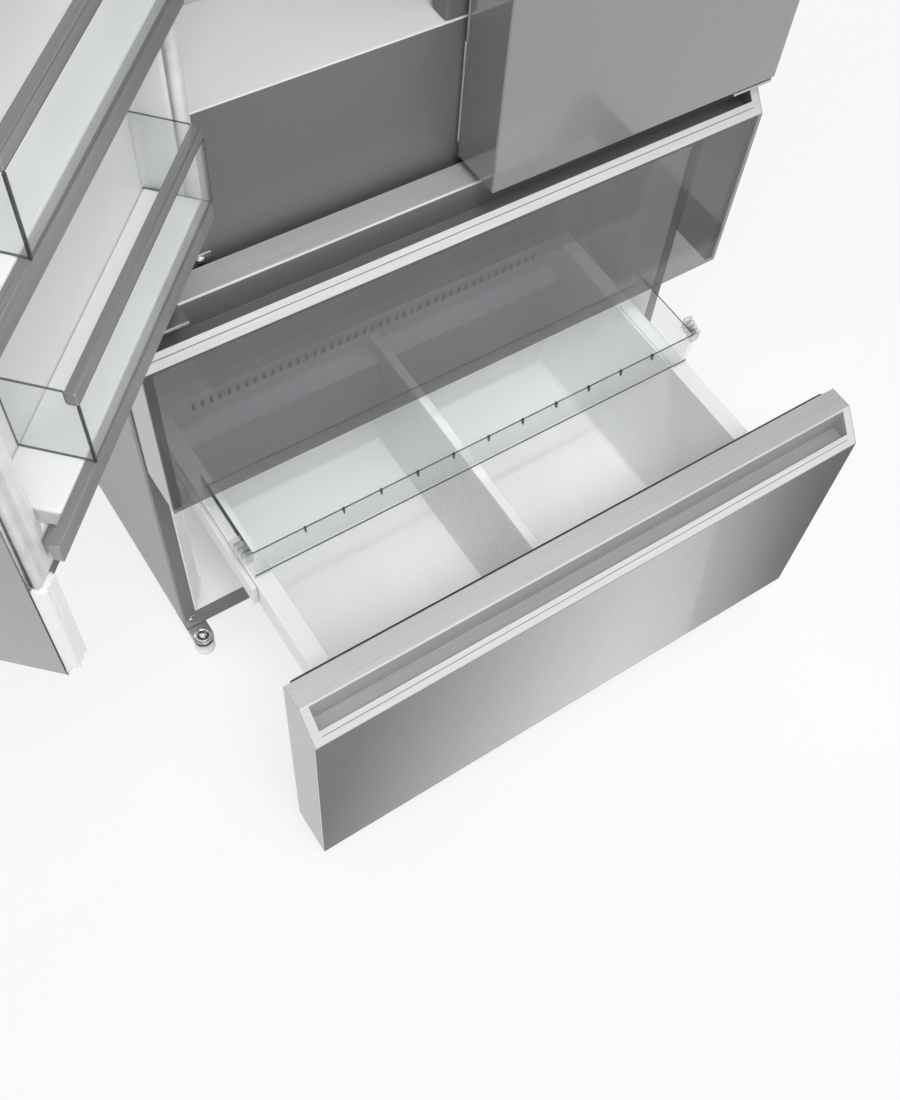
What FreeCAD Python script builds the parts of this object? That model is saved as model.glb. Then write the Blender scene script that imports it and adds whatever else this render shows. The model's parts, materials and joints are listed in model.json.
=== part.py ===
import FreeCAD, Part
import math
import os
import re
import Sketcher

# A four-door fridge freezer: two hinged doors above, two full-width drawers below.
# Millimetres, +Z up, the front looks along -Y. The origin is on the floor, in the middle of the width,
# under the front face of the cabinet. Pieces are drawn shut, then the lower drawer is pulled out and the
# left door is swung open, as the appliance is shown.

DRIVING_SIZES = {
    # Cabinet
    "width": 908,
    "depth": 740,
    "base_height": 40,
    "cabinet_height": 1720,
    "steel": 1.2,
    "stile": 20,
    "fridge_stile": 34,
    "frame_depth": 12,
    "wall": 52,
    "liner_wall": 2.5,
    "lip_depth": 50,
    "lip_drop": 15,
    "bottom_rail": 46,
    "beam_overlap": 24,
    "top_rail": 55,
    "freezer_rear": 134,
    "fridge_rear": 100,
    "bay_depth": 190,
    "bay_height": 215,
    "bay_foam": 45,
    "post_half": 16,
    "post_depth": 30,
    "post_clear": 6,
    # Doors and drawer fronts
    "seal_gap": 12,
    "seal_play": 0.6,
    "door_thickness": 75,
    "door_gap": 10,
    "front_lift": 15,
    "lower_front": 452,
    "front_gap": 6,
    "middle_front": 326,
    "drawer_clear": 3,
    "plate_clear": 4,
    "door_top_gap": 8,
    "panel_sheet": 5,
    "slope_run": 38,
    "slope_rise": 47,
    "rail_height": 57,
    "groove_end": 14,
    "groove_deep": 45,
    "seal_width": 16,
    "seal_inset": 12,
    "door_seal_play": 1.5,
    "door_seal_width": 22,
    "door_seal_edge": 3,
    "door_seal_inset": 20,
    "seal_land": 1,
    "skirt": 156,
    "skirt_thick": 23,
    "free_rib": 28,
    "sill": 33,
    "glass_stile": 14,
    "left_open": 135,
    "freezer_open": 357,
    # Hinges
    "pin_in": 34,
    "pin_back": 15,
    "pin_radius": 5,
    "pin_play": 0.05,
    "pin_depth": 20,
    "hinge_plate": 5,
    "hinge_reach": 90,
    "plate_inner": 27,
    "plate_outer": 20,
    "plate_nose": 12,
    "cap_overlap": 6,
    "cap_height": 20,
    "cap_nose": 3,
    "hinge_flange": 134,
    "flange_thick": 4,
    "flange_height": 17.5,
    "plate_width": 66,
    "screw_edge": 14,
    "screw_pitch": 33,
    "seal_clear": 4,
    "screw_radius": 6.5,
    "screw_head": 3.5,
    # Door shelves
    "dyke": 44,
    "pocket_deep": 38,
    "shelf_top": 22,
    "shelf_thick": 22,
    "shelf_front": 18,
    "guard_height": 88,
    "guard_wall": 3,
    "guard_start": 104,
    "trim_thick": 10,
    "guard_rail": 14,
    # Lower drawer tub
    "tub_side": 16,
    "tub_rear_gap": 17,
    "tub_wall": 3,
    "tub_clear": 8.5,
    "tub_deep": 275,
    "tub_taper": 17,
    "rim_width": 29,
    "rim_thick": 10,
    "notch_gap": 9.5,
    "notch_clear": 7.5,
    "divider_thick": 16,
    "divider_drop": 35,
    "grille_margin": 25,
    "grille_height": 24,
    "grille_drop": 12,
    "slot_width": 6,
    "slot_pitch": 15,
    # Middle drawer tub
    "middle_rim_drop": 49,
    "middle_tub_deep": 190,
    "middle_tub_gap": 48,
    # Telescopic slides
    "slide_thick": 8,
    "slide_height": 42,
    "slide_play": 0.3,
    "rail_gap": 58,
    "slide_step": 20,
    # Clear tray on the rim of the lower tub
    "tray_side": 2,
    "tray_length": 148,
    "tray_height": 62,
    "tray_wall": 3,
    "tray_place": 205,
    "tray_runner": 6,
    "tray_rear_drop": 28,
    "clip_size": 18,
    "clip_out": 7,
    # Feet and rollers
    "foot_radius": 17,
    "foot_out": 22,
    "foot_pad": 8,
    "foot_collar": 3,
    "stem_radius": 5,
    "head_radius": 12,
    "head_height": 7,
    "bracket_thick": 4,
    "bracket_length": 62,
    "roller_clear": 1,
    "roller_width": 24,
    "roller_in": 70,
    "roller_back": 90,
    "axle_radius": 4,
    "ear_thick": 3,
    # Inside the cabinet
    "shelf_glass": 5,
    "shelf_rear_gap": 40,
    "shelf_set_back": 90,
    "crisper_height": 200,
    "crisper_wall": 3,
    "crisper_gap": 4,
    "crisper_set_back": 150,
    "shelf_clear": 18,
    "duct_half": 110,
    "duct_thick": 18,
    "cover_room": 58,
    "cover_thick": 4,
    "fan_up": 120,
    "fan_radius": 54,
    "fan_width": 20,
    "hub_radius": 18,
    "shaft_radius": 3,
    "motor_radius": 30,
    "fan_gap": 6,
    "fin_thick": 2,
    "evaporator_half": 260,
    "evaporator_low": 50,
    "coil_gap": 73.5,
    "tube_radius": 5,
    "compressor_gap": 10,
    "compressor_height": 150,
    "compressor_across": 190,
    "condenser_start": 40,
    "condenser_side": 53,
    "condenser_clear": 44,
    "condenser_inset": 40,
    "louvre_width": 8,
    "louvre_pitch": 26,
    "louvre_margin": 30,
}
FIN_COUNT = 13
CONDENSER_FINS = 10
FAN_BLADES = 5
BLADE_TILT = 35
DOOR_SHELVES = 3
INNER_SHELVES = 3
LOUVRES = 15
SIDES = {"left": -1, "right": 1}

DOC = FreeCAD.newDocument("FridgeFreezer")
SHEET = DOC.addObject("Spreadsheet::Sheet", "Sizes")
for row, (alias, number) in enumerate(DRIVING_SIZES.items(), start=1):
    SHEET.set(f"A{row}", alias.replace("_", " "))
    SHEET.set(f"B{row}", str(number))
    SHEET.setAlias(f"B{row}", alias)
DOC.recompute()

PIECES = []

# Levels and faces that several pieces share, as expressions of the driving sizes
HALF = "width / 2"
INNER = "(width / 2 - wall)"
SKIN = "(width / 2 - steel)"
MOUTH = "(width / 2 - stile)"
FRIDGE_MOUTH = "(width / 2 - fridge_stile)"
TOP = "(base_height + cabinet_height)"
FRONT = "(-seal_gap - door_thickness)"
BACK = "(-seal_gap)"
SEAL_FACE = "(-seal_play)"
LOWER_LOW = "(base_height + front_lift)"
LOWER_TOP = f"({LOWER_LOW} + lower_front)"
MIDDLE_LOW = f"({LOWER_TOP} + front_gap)"
MIDDLE_TOP = f"({MIDDLE_LOW} + middle_front)"
DOOR_LOW = f"({MIDDLE_TOP} + drawer_clear + hinge_plate + plate_clear)"
DOOR_TOP = f"({TOP} - door_top_gap)"
FREEZER_LOW = "(base_height + bottom_rail)"
FREEZER_HIGH = f"({MIDDLE_TOP} - beam_overlap)"
FREEZER_FLOOR = f"({FREEZER_LOW} + liner_wall)"
FREEZER_CEILING = f"({FREEZER_HIGH} - lip_drop - liner_wall)"
BODY_LOW = f"({DOOR_LOW} + skirt)"
DOOR_SEAL_LOW = f"({BODY_LOW} + door_seal_edge)"
FRIDGE_LOW = f"({DOOR_SEAL_LOW} + door_seal_width + seal_land)"
FRIDGE_HIGH = f"({TOP} - top_rail)"
FRIDGE_FLOOR = f"({FRIDGE_LOW} + liner_wall)"
FRIDGE_CEILING = f"({FRIDGE_HIGH} - lip_drop - liner_wall)"
HUMP_FRONT = "(depth - bay_depth - bay_foam)"
HUMP_TOP = "(base_height + bay_height + bay_foam)"
FREEZER_BACK = "(depth - freezer_rear)"
FRIDGE_BACK = "(depth - fridge_rear)"
COVER_FACE = f"({FREEZER_BACK} - cover_room)"
PIN_X = "(width / 2 - pin_in)"
PIN_Y = f"({FRONT} + pin_back)"
PLATE_TOP = f"({DOOR_LOW} - plate_clear)"
FLANGE_LOW = f"({PLATE_TOP} - flange_height)"
TUB_FLOOR = f"({FREEZER_FLOOR} + tub_clear + tub_wall)"
RIM_TOP = f"({TUB_FLOOR} + tub_deep)"
TUB_BACK = f"({COVER_FACE} - tub_rear_gap)"
TUB_HALF = f"({INNER} - tub_side)"
TUB_INNER = f"({TUB_HALF} - rim_width)"
NOTCH_FRONT = f"({HUMP_FRONT} - liner_wall - notch_gap)"
NOTCH_TOP = f"({HUMP_TOP} + liner_wall + notch_clear)"
MIDDLE_RIM = f"({MIDDLE_TOP} - middle_rim_drop)"
DOOR_FREE = "(door_gap / 2)"
FAN_LEVEL = f"({FREEZER_CEILING} - fan_up)"
SLIDE_LENGTH = f"({COVER_FACE} - rail_gap - 2 * slide_step)"
SHELF_LOW = f"({BODY_LOW} + sill)"
SHELF_PITCH = f"(({DOOR_TOP} - {SHELF_LOW} - shelf_top) / {DOOR_SHELVES})"
FOOT_X = f"({HALF} - foot_radius)"
ROLLER_RADIUS = "((base_height - roller_clear) / 2)"
ROLLER_X = f"({HALF} - roller_in)"
ROLLER_Y = "(depth - roller_back)"


def in_sheet(word):
    return "Sizes." + word.group() if word.group() in DRIVING_SIZES else word.group()


def bind(item, prop, text):
    item.setExpression(prop, re.sub(r"[a-z][a-z_]*", in_sheet, text))


def both(edge):
    """A span from the left mirror of an edge to the edge."""
    return (f"-({edge})", edge)


def across(side, low, high):
    """An x span on the right, or its mirror on the left."""
    return (low, high) if side > 0 else (f"-({high})", f"-({low})")


def block(label, x, y, z):
    item = DOC.addObject("Part::Box", label)
    for prop, axis, (low, high) in (("Length", "x", x), ("Width", "y", y), ("Height", "z", z)):
        bind(item, prop, f"({high}) - ({low})")
        bind(item, f"Placement.Base.{axis}", low)
    return item


TURNS = {
    "x": FreeCAD.Rotation(FreeCAD.Vector(0, 1, 0), 90),
    "y": FreeCAD.Rotation(FreeCAD.Vector(1, 0, 0), -90),
    "z": FreeCAD.Rotation(),
}


def rod(label, along, start, radius, length):
    """A cylinder from a start point along an axis."""
    item = DOC.addObject("Part::Cylinder", label)
    item.Placement = FreeCAD.Placement(FreeCAD.Vector(), TURNS[along])
    for axis, text in zip("xyz", start):
        bind(item, f"Placement.Base.{axis}", text)
    bind(item, "Radius", radius)
    bind(item, "Height", length)
    return item


def tapered(label, y, near, far):
    """A block whose x and z spans change from the near face to the far face."""
    item = DOC.addObject("Part::Wedge", label)
    spans = {"Ymin": y[0], "Ymax": y[1]}
    spans.update({"Xmin": near[0][0], "Xmax": near[0][1], "Zmin": near[1][0], "Zmax": near[1][1]})
    spans.update({"X2min": far[0][0], "X2max": far[0][1], "Z2min": far[1][0], "Z2max": far[1][1]})
    for prop, text in spans.items():
        bind(item, prop, text)
    return item


def drafted(label, z, low, high):
    """A block whose x and y spans change from its bottom to its top."""
    item = tapered(
        label,
        z,
        (low[0], (f"-({low[1][1]})", f"-({low[1][0]})")),
        (high[0], (f"-({high[1][1]})", f"-({high[1][0]})")),
    )
    item.Placement = FreeCAD.Placement(FreeCAD.Vector(), FreeCAD.Rotation(FreeCAD.Vector(1, 0, 0), 90))
    return item


def fuse(label, *items):
    item = DOC.addObject("Part::MultiFuse", label)
    item.Shapes = list(items)
    item.Refine = True
    return item


def cut(label, base, *tools):
    item = DOC.addObject("Part::Cut", label)
    item.Base = base
    item.Tool = tools[0] if len(tools) == 1 else fuse(label + "_tools", *tools)
    item.Refine = True
    return item


def group(label, items):
    item = DOC.addObject("Part::Compound", label)
    item.Links = list(items)
    return item


def plane(body, role):
    return next(feature for feature in body.Origin.OriginFeatures if feature.Role == role)


def outline(body, label, role, points):
    """A closed sketch of straight lines, with every corner placed by expressions."""
    sketch = body.newObject("Sketcher::SketchObject", label)
    sketch.AttachmentSupport = (plane(body, role), [""])
    sketch.MapMode = "FlatFace"
    count = len(points)
    rough = []
    for index in range(count):
        angle = 2 * math.pi * index / count
        rough.append(FreeCAD.Vector(math.cos(angle), math.sin(angle), 0) * count)
    for index in range(count):
        sketch.addGeometry(Part.LineSegment(rough[index], rough[(index + 1) % count]), False)
    for index in range(count):
        sketch.addConstraint(Sketcher.Constraint("Coincident", index, 2, (index + 1) % count, 1))
    for index, (across_text, up_text) in enumerate(points):
        for kind, text, now in (
            ("DistanceX", across_text, rough[index].x),
            ("DistanceY", up_text, rough[index].y),
        ):
            place = sketch.addConstraint(Sketcher.Constraint(kind, -1, 1, index, 1, now))
            bind(sketch, f"Constraints[{place}]", text)
    return sketch


def turned(label, points):
    """A body of revolution about its own Z axis, from (radius, height) corners."""
    body = DOC.addObject("PartDesign::Body", label)
    sketch = outline(body, label + "_profile", "XZ_Plane", points)
    feature = body.newObject("PartDesign::Revolution", label + "_turn")
    feature.Profile = sketch
    feature.ReferenceAxis = (sketch, ["V_Axis"])
    return body


def keep(label, item):
    """Registers a finished piece under the name of its file."""
    item.Label = label
    PIECES.append(item)
    return item


def pulled(label, item, travel):
    """A finished piece that is drawn shut and stands pulled out by a travel."""
    posed = group(label, [item])
    bind(posed, "Placement.Base.y", f"-({travel})")
    return keep(label, posed)


def swung(label, item, side):
    """A finished door piece. The left door stands open, turned about its hinge pins."""
    posed = group(label, [item])
    if side < 0:
        bind(posed, "Placement.Rotation.Angle", "-left_open")
        bind(posed, "Placement.Base.x", f"-{PIN_X} + {PIN_X} * cos(left_open) - {PIN_Y} * sin(left_open)")
        bind(posed, "Placement.Base.y", f"{PIN_Y} - {PIN_X} * sin(left_open) - {PIN_Y} * cos(left_open)")
    return keep(label, posed)


def ring(label, x, y, z, thick):
    """A rectangular frame of one width that lies in the x-z plane."""
    outer = block(label + "_outer", x, y, z)
    inner = block(
        label + "_inner",
        (f"{x[0]} + {thick}", f"{x[1]} - ({thick})"),
        y,
        (f"{z[0]} + {thick}", f"{z[1]} - ({thick})"),
    )
    return cut(label + "_ring", outer, inner)


def make_cabinet():
    """Outer steel wrap, face frame, base with its machine bay, rear panels."""
    wrap = block("wrap_outside", both(HALF), ("frame_depth", "depth"), ("base_height", TOP))
    hollow = block(
        "wrap_inside", both(SKIN), ("frame_depth", "depth"), ("base_height", f"{TOP} - steel")
    )
    keep("cabinet_shell", cut("cabinet_shell_cut", wrap, hollow))

    face = block("face_outside", both(HALF), ("0", "frame_depth"), ("base_height", TOP))
    lower_mouth = block("lower_mouth", both(MOUTH), ("0", "frame_depth"), (FREEZER_LOW, FREEZER_HIGH))
    upper_mouth = block("upper_mouth", both(FRIDGE_MOUTH), ("0", "frame_depth"), (FRIDGE_LOW, FRIDGE_HIGH))
    keep("front_frame", cut("front_frame_cut", face, lower_mouth, upper_mouth))

    behind = ("frame_depth", "depth - steel")
    bay_front = "(depth - bay_depth)"
    bay_top = "(base_height + bay_height)"
    pan = block("base_pan", both(SKIN), behind, ("base_height", "base_height + steel"))
    riser = block("bay_riser", both(SKIN), (f"{bay_front} - steel", bay_front), ("base_height", bay_top))
    roof = block(
        "bay_roof", both(SKIN), (f"{bay_front} - steel", "depth - steel"), (f"{bay_top} - steel", bay_top)
    )
    keep("base_plate", fuse("base_plate_fuse", pan, riser, roof))
    keep(
        "rear_panel",
        block("rear_sheet", both(SKIN), ("depth - steel", "depth"), (bay_top, f"{TOP} - steel")),
    )

    sheet = block("cover_sheet", both(SKIN), ("depth - steel", "depth"), ("base_height", bay_top))
    slots = []
    for index in range(LOUVRES):
        middle = f"({index - LOUVRES // 2} * louvre_pitch)"
        slots.append(
            block(
                f"louvre_{index}",
                (f"{middle} - louvre_width / 2", f"{middle} + louvre_width / 2"),
                ("depth - steel", "depth"),
                ("base_height + louvre_margin", f"{bay_top} - louvre_margin"),
            )
        )
    keep("machine_cover", cut("machine_cover_cut", sheet, group("louvres", slots)))


def make_liner(label, mouth, low, high, floor, ceiling, spans):
    """A moulded liner with a tapered lip at its mouth. Spans are its outer and inner depth steps."""
    lip = block(label + "_lip", both(mouth), ("0", "lip_depth"), (low, high))
    outside = [lip]
    inside = [
        tapered(
            label + "_mouth",
            ("0", "lip_depth"),
            (both(f"{mouth} - liner_wall"), (floor, f"{high} - liner_wall")),
            (both(INNER), (floor, ceiling)),
        )
    ]
    for index, (start, end, bottom) in enumerate(spans):
        outside.append(
            block(
                f"{label}_outside_{index}",
                both(f"{INNER} + liner_wall"),
                (start, f"{end} + liner_wall"),
                (bottom, f"{ceiling} + liner_wall"),
            )
        )
        inside.append(
            block(
                f"{label}_inside_{index}", both(INNER), (start, end), (f"{bottom} + liner_wall", ceiling)
            )
        )
    shell = fuse(label + "_solid", *outside)
    keep(label, cut(label + "_cut", shell, *inside))
    return shell


def make_insides():
    """Both liners, the foam round them and the post between the doors."""
    hump_face = f"({HUMP_FRONT} - liner_wall)"
    freezer = make_liner(
        "freezer_liner",
        MOUTH,
        FREEZER_LOW,
        FREEZER_HIGH,
        FREEZER_FLOOR,
        FREEZER_CEILING,
        [("lip_depth", hump_face, FREEZER_LOW), (hump_face, FREEZER_BACK, HUMP_TOP)],
    )
    fridge = make_liner(
        "fridge_liner",
        FRIDGE_MOUTH,
        FRIDGE_LOW,
        FRIDGE_HIGH,
        FRIDGE_FLOOR,
        FRIDGE_CEILING,
        [("lip_depth", FRIDGE_BACK, FRIDGE_LOW)],
    )
    fill = block(
        "foam_fill", both(SKIN), ("frame_depth", "depth - steel"), ("base_height + steel", f"{TOP} - steel")
    )
    bay = block(
        "bay_room",
        both(SKIN),
        ("depth - bay_depth - steel", "depth - steel"),
        ("base_height", "base_height + bay_height"),
    )
    keep("foam_insulation", cut("foam_cut", fill, freezer, fridge, bay))
    slope = "(lip_drop * post_depth / lip_depth)"
    keep(
        "centre_post",
        block(
            "post_bar",
            both("post_half"),
            ("0", "post_depth"),
            (FRIDGE_FLOOR, f"{FRIDGE_HIGH} - liner_wall - {slope}"),
        ),
    )


def make_fridge_fittings():
    """Glass shelves, crisper boxes and the air duct of the upper compartment."""
    reach = ("shelf_set_back", f"{FRIDGE_BACK} - shelf_rear_gap")
    cover_level = f"({FRIDGE_FLOOR} + crisper_height + shelf_clear)"
    shelves = []
    for index in range(INNER_SHELVES):
        level = f"({cover_level} + ({FRIDGE_CEILING} - {cover_level}) * {index} / {INNER_SHELVES})"
        shelves.append(
            block(
                f"inner_shelf_{index}",
                both(f"{INNER} - slide_play"),
                reach,
                (level, f"{level} + shelf_glass"),
            )
        )
    keep("glass_shelves", group("shelf_set", shelves))

    for name, side in SIDES.items():
        low = f"({FRIDGE_FLOOR} + slide_play)"
        outside = block(
            f"crisper_outside_{name}",
            across(side, "crisper_gap", f"{INNER} - crisper_gap"),
            ("crisper_set_back", reach[1]),
            (low, f"{low} + crisper_height"),
        )
        inside = block(
            f"crisper_inside_{name}",
            across(side, "crisper_gap + crisper_wall", f"{INNER} - crisper_gap - crisper_wall"),
            ("crisper_set_back + crisper_wall", f"{reach[1]} - crisper_wall"),
            (f"{low} + crisper_wall", f"{low} + crisper_height"),
        )
        keep(f"crisper_{name}", cut(f"crisper_cut_{name}", outside, inside))
    keep(
        "air_duct",
        block(
            "duct_panel",
            both("duct_half"),
            (f"{FRIDGE_BACK} - duct_thick", FRIDGE_BACK),
            (FRIDGE_FLOOR, FRIDGE_CEILING),
        ),
    )


def finned(label, x, y, z, fins, tube_levels):
    """A heat exchanger: upright plates threaded on tubes that run across."""
    parts = []
    for index in range(fins):
        start = f"({x[0]} + ({x[1]} - ({x[0]}) - fin_thick) * {index} / {fins - 1})"
        parts.append(block(f"{label}_fin_{index}", (start, f"{start} + fin_thick"), y, z))
    middle = f"({y[0]} + {y[1]}) / 2"
    for index, share in enumerate(tube_levels):
        level = f"{z[0]} + ({z[1]} - ({z[0]})) * {share}"
        start = (x[0], middle, level)
        parts.append(rod(f"{label}_tube_{index}", "x", start, "tube_radius", f"{x[1]} - ({x[0]})"))
    return fuse(label + "_fuse", *parts)


def make_cooling():
    """Evaporator, its fan and cover in the freezer; compressor and condenser in the machine bay."""
    panel = block(
        "cover_panel",
        both(INNER),
        (COVER_FACE, f"{COVER_FACE} + cover_thick"),
        (f"{HUMP_TOP} + liner_wall", FREEZER_CEILING),
    )
    fan_hole = rod("fan_hole", "y", ("0", COVER_FACE, FAN_LEVEL), "fan_radius + cover_thick", "cover_thick")
    keep("evaporator_cover", cut("cover_cut", panel, fan_hole))

    coil_low = f"({HUMP_TOP} + evaporator_low)"
    keep(
        "evaporator",
        finned(
            "evaporator",
            both("evaporator_half"),
            (f"{COVER_FACE} + 2 * cover_thick", FREEZER_BACK),
            (coil_low, f"{FAN_LEVEL} - fan_radius - coil_gap"),
            FIN_COUNT,
            (0.15, 0.5, 0.85),
        ),
    )

    fan_start = f"({COVER_FACE} + 2 * cover_thick)"
    motor_start = f"({fan_start} + fan_width + fan_gap)"
    motor = rod(
        "motor_can", "y", ("0", motor_start, FAN_LEVEL), "motor_radius", f"{FREEZER_BACK} - {motor_start}"
    )
    shaft = rod(
        "motor_shaft", "y", ("0", fan_start, FAN_LEVEL), "shaft_radius", f"{FREEZER_BACK} - {fan_start}"
    )
    keep("fan_motor", fuse("fan_motor_fuse", motor, shaft))

    hub = rod("fan_hub", "y", ("0", fan_start, FAN_LEVEL), "hub_radius", "fan_width")
    blades = [hub]
    for index in range(FAN_BLADES):
        blade = DOC.addObject("Part::Box", f"fan_blade_{index}")
        bind(blade, "Length", "fan_radius - hub_radius / 2")
        bind(blade, "Width", "fin_thick")
        bind(blade, "Height", "fan_width")
        tilt = FreeCAD.Rotation(FreeCAD.Vector(1, 0, 0), BLADE_TILT)
        lie = FreeCAD.Rotation(FreeCAD.Vector(1, 0, 0), -90)
        around = FreeCAD.Rotation(FreeCAD.Vector(0, 1, 0), 360 * index / FAN_BLADES)
        turn = around.multiply(lie).multiply(tilt)
        blade.Placement = FreeCAD.Placement(FreeCAD.Vector(), turn)
        start = turn.multVec(FreeCAD.Vector(1, 0, 0))
        bind(blade, "Placement.Base.x", f"{start.x:.6f} * hub_radius / 2")
        bind(blade, "Placement.Base.y", f"{fan_start} + fan_width * 0.1")
        bind(blade, "Placement.Base.z", f"{FAN_LEVEL} + {start.z:.6f} * hub_radius / 2")
        blades.append(blade)
    bore = rod("fan_bore", "y", ("0", fan_start, FAN_LEVEL), "shaft_radius + pin_play", "fan_width")
    keep("evaporator_fan", cut("fan_cut", fuse("fan_fuse", *blades), bore))

    can_radius = "(bay_depth / 2 - compressor_gap)"
    can = turned(
        "compressor_can",
        [
            ("0", "0"),
            (can_radius, "0"),
            (can_radius, "compressor_height * 0.06"),
            (f"{can_radius} * 0.88", "compressor_height * 0.1"),
            (f"{can_radius} * 0.88", "compressor_height * 0.72"),
            (f"{can_radius} * 0.6", "compressor_height * 0.96"),
            ("0", "compressor_height"),
        ],
    )
    bind(can, "Placement.Base.x", "-compressor_across")
    bind(can, "Placement.Base.y", "depth - bay_depth / 2 - steel")
    bind(can, "Placement.Base.z", "base_height + steel")
    keep("compressor", can)

    coil_base = "(base_height + steel)"
    keep(
        "condenser",
        finned(
            "condenser",
            ("condenser_start", f"{SKIN} - condenser_side"),
            ("depth - bay_depth + condenser_inset", "depth - condenser_inset"),
            (coil_base, "base_height + bay_height - condenser_clear"),
            CONDENSER_FINS,
            (0.2, 0.5, 0.8),
        ),
    )


def make_hinges():
    """Top and middle hinge brackets with their pins, their covers and screws."""
    covers = []
    screws = []
    for name, side in SIDES.items():
        pin_x = PIN_X if side > 0 else f"-{PIN_X}"
        plate = block(
            f"top_plate_{name}",
            across(side, f"{PIN_X} - plate_inner", f"{PIN_X} + plate_outer"),
            (f"{PIN_Y} - plate_nose", "hinge_reach"),
            (TOP, f"{TOP} + hinge_plate"),
        )
        pin = rod(
            f"top_pin_{name}",
            "z",
            (pin_x, PIN_Y, f"{DOOR_TOP} - pin_depth"),
            "pin_radius",
            "pin_depth + door_top_gap + hinge_plate",
        )
        keep(f"top_hinge_{name}", fuse(f"top_hinge_fuse_{name}", plate, pin))
        covers.append(
            block(
                f"hinge_cap_{name}",
                across(
                    side,
                    f"{PIN_X} - plate_inner - cap_overlap",
                    f"{PIN_X} + plate_outer + cap_overlap",
                ),
                (f"{PIN_Y} + cap_nose", "hinge_reach + cap_overlap"),
                (f"{TOP} + hinge_plate", f"{TOP} + hinge_plate + cap_height"),
            )
        )

        shelf = block(
            f"middle_plate_{name}",
            across(side, f"{HALF} - plate_width", f"{HALF} - steel"),
            (f"{PIN_Y} - plate_nose", "0"),
            (f"{PLATE_TOP} - hinge_plate", PLATE_TOP),
        )
        flange = block(
            f"middle_flange_{name}",
            across(side, f"{HALF} - hinge_flange", MOUTH),
            ("-flange_thick", "0"),
            (FLANGE_LOW, PLATE_TOP),
        )
        post = rod(
            f"middle_pin_{name}",
            "z",
            (pin_x, PIN_Y, f"{PLATE_TOP} - hinge_plate"),
            "pin_radius",
            "pin_depth + plate_clear + hinge_plate",
        )
        keep(f"middle_hinge_{name}", fuse(f"middle_hinge_fuse_{name}", shelf, flange, post))
        for spot in range(2):
            place = f"({HALF} - hinge_flange + screw_edge + {spot} * screw_pitch)"
            head = DOC.addObject("Part::Cone", f"screw_head_{name}")
            head.Placement = FreeCAD.Placement(
                FreeCAD.Vector(), FreeCAD.Rotation(FreeCAD.Vector(1, 0, 0), 90)
            )
            bind(head, "Radius1", "screw_radius")
            bind(head, "Radius2", "screw_radius * 0.55")
            bind(head, "Height", "screw_head")
            bind(head, "Placement.Base.x", place if side > 0 else f"-{place}")
            bind(head, "Placement.Base.y", "-flange_thick")
            bind(head, "Placement.Base.z", f"({FLANGE_LOW} + {PLATE_TOP}) / 2")
            screws.append(head)
    keep("hinge_covers", group("hinge_cap_pair", covers))
    keep("hinge_screws", group("hinge_screw_set", screws))


def make_feet():
    """Front levelling feet in their brackets, rear rollers on their axles."""
    brackets = []
    ears = []
    wheels = []
    bracket_span = ("base_height - bracket_thick", "base_height")
    for name, side in SIDES.items():
        foot_x = FOOT_X if side > 0 else f"-{FOOT_X}"
        strap = block(
            f"foot_strap_{name}",
            across(side, f"{FOOT_X} - foot_radius", f"{FOOT_X} + foot_radius"),
            ("-foot_out", "-foot_out + bracket_length"),
            bracket_span,
        )
        nose = rod(
            f"foot_nose_{name}", "z", (foot_x, "-foot_out", bracket_span[0]), "foot_radius", "bracket_thick"
        )
        hole = rod(
            f"foot_hole_{name}",
            "z",
            (foot_x, "-foot_out", bracket_span[0]),
            "stem_radius + pin_play",
            "bracket_thick",
        )
        brackets.append(cut(f"foot_bracket_{name}", fuse(f"foot_plate_{name}", strap, nose), hole))
        head_low = "(base_height + slide_play)"
        foot = turned(
            f"foot_turning_{name}",
            [
                ("0", "0"),
                ("foot_radius", "0"),
                ("foot_radius", "foot_pad * 0.75"),
                ("stem_radius + foot_collar", "foot_pad * 1.2"),
                ("stem_radius", "foot_pad * 1.2"),
                ("stem_radius", head_low),
                ("head_radius", head_low),
                ("head_radius * 0.92", f"{head_low} + head_height * 0.5"),
                ("head_radius * 0.5", f"{head_low} + head_height * 0.9"),
                ("0", f"{head_low} + head_height"),
            ],
        )
        bind(foot, "Placement.Base.x", foot_x)
        bind(foot, "Placement.Base.y", "-foot_out")
        keep(f"foot_{name}", foot)

        roller_x = ROLLER_X if side > 0 else f"-{ROLLER_X}"
        inside = "(roller_width / 2 + slide_play)"
        outside = f"({inside} + ear_thick)"
        plates = []
        for edge, (low, high) in {"in": (f"-{outside}", f"-{inside}"), "out": (inside, outside)}.items():
            plates.append(
                block(
                    f"roller_ear_{name}_{edge}",
                    (f"{roller_x} + {low}", f"{roller_x} + {high}"),
                    (f"{ROLLER_Y} - {ROLLER_RADIUS} * 0.8", f"{ROLLER_Y} + {ROLLER_RADIUS} * 0.8"),
                    (f"{ROLLER_RADIUS} - 2 * axle_radius", "base_height"),
                )
            )
        axle = rod(
            f"roller_axle_{name}",
            "x",
            (f"{roller_x} - {outside}", ROLLER_Y, ROLLER_RADIUS),
            "axle_radius",
            f"2 * {outside}",
        )
        ears.append(fuse(f"roller_bracket_{name}", axle, *plates))
        start = (f"{roller_x} - roller_width / 2", ROLLER_Y, ROLLER_RADIUS)
        wheel = rod(f"roller_wheel_{name}", "x", start, ROLLER_RADIUS, "roller_width")
        bore = rod(f"roller_bore_{name}", "x", start, "axle_radius + pin_play", "roller_width")
        wheels.append(cut(f"roller_cut_{name}", wheel, bore))
    keep("foot_brackets", group("foot_bracket_pair", brackets))
    keep("roller_brackets", group("roller_bracket_pair", ears))
    keep("rear_rollers", group("roller_pair", wheels))


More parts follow.
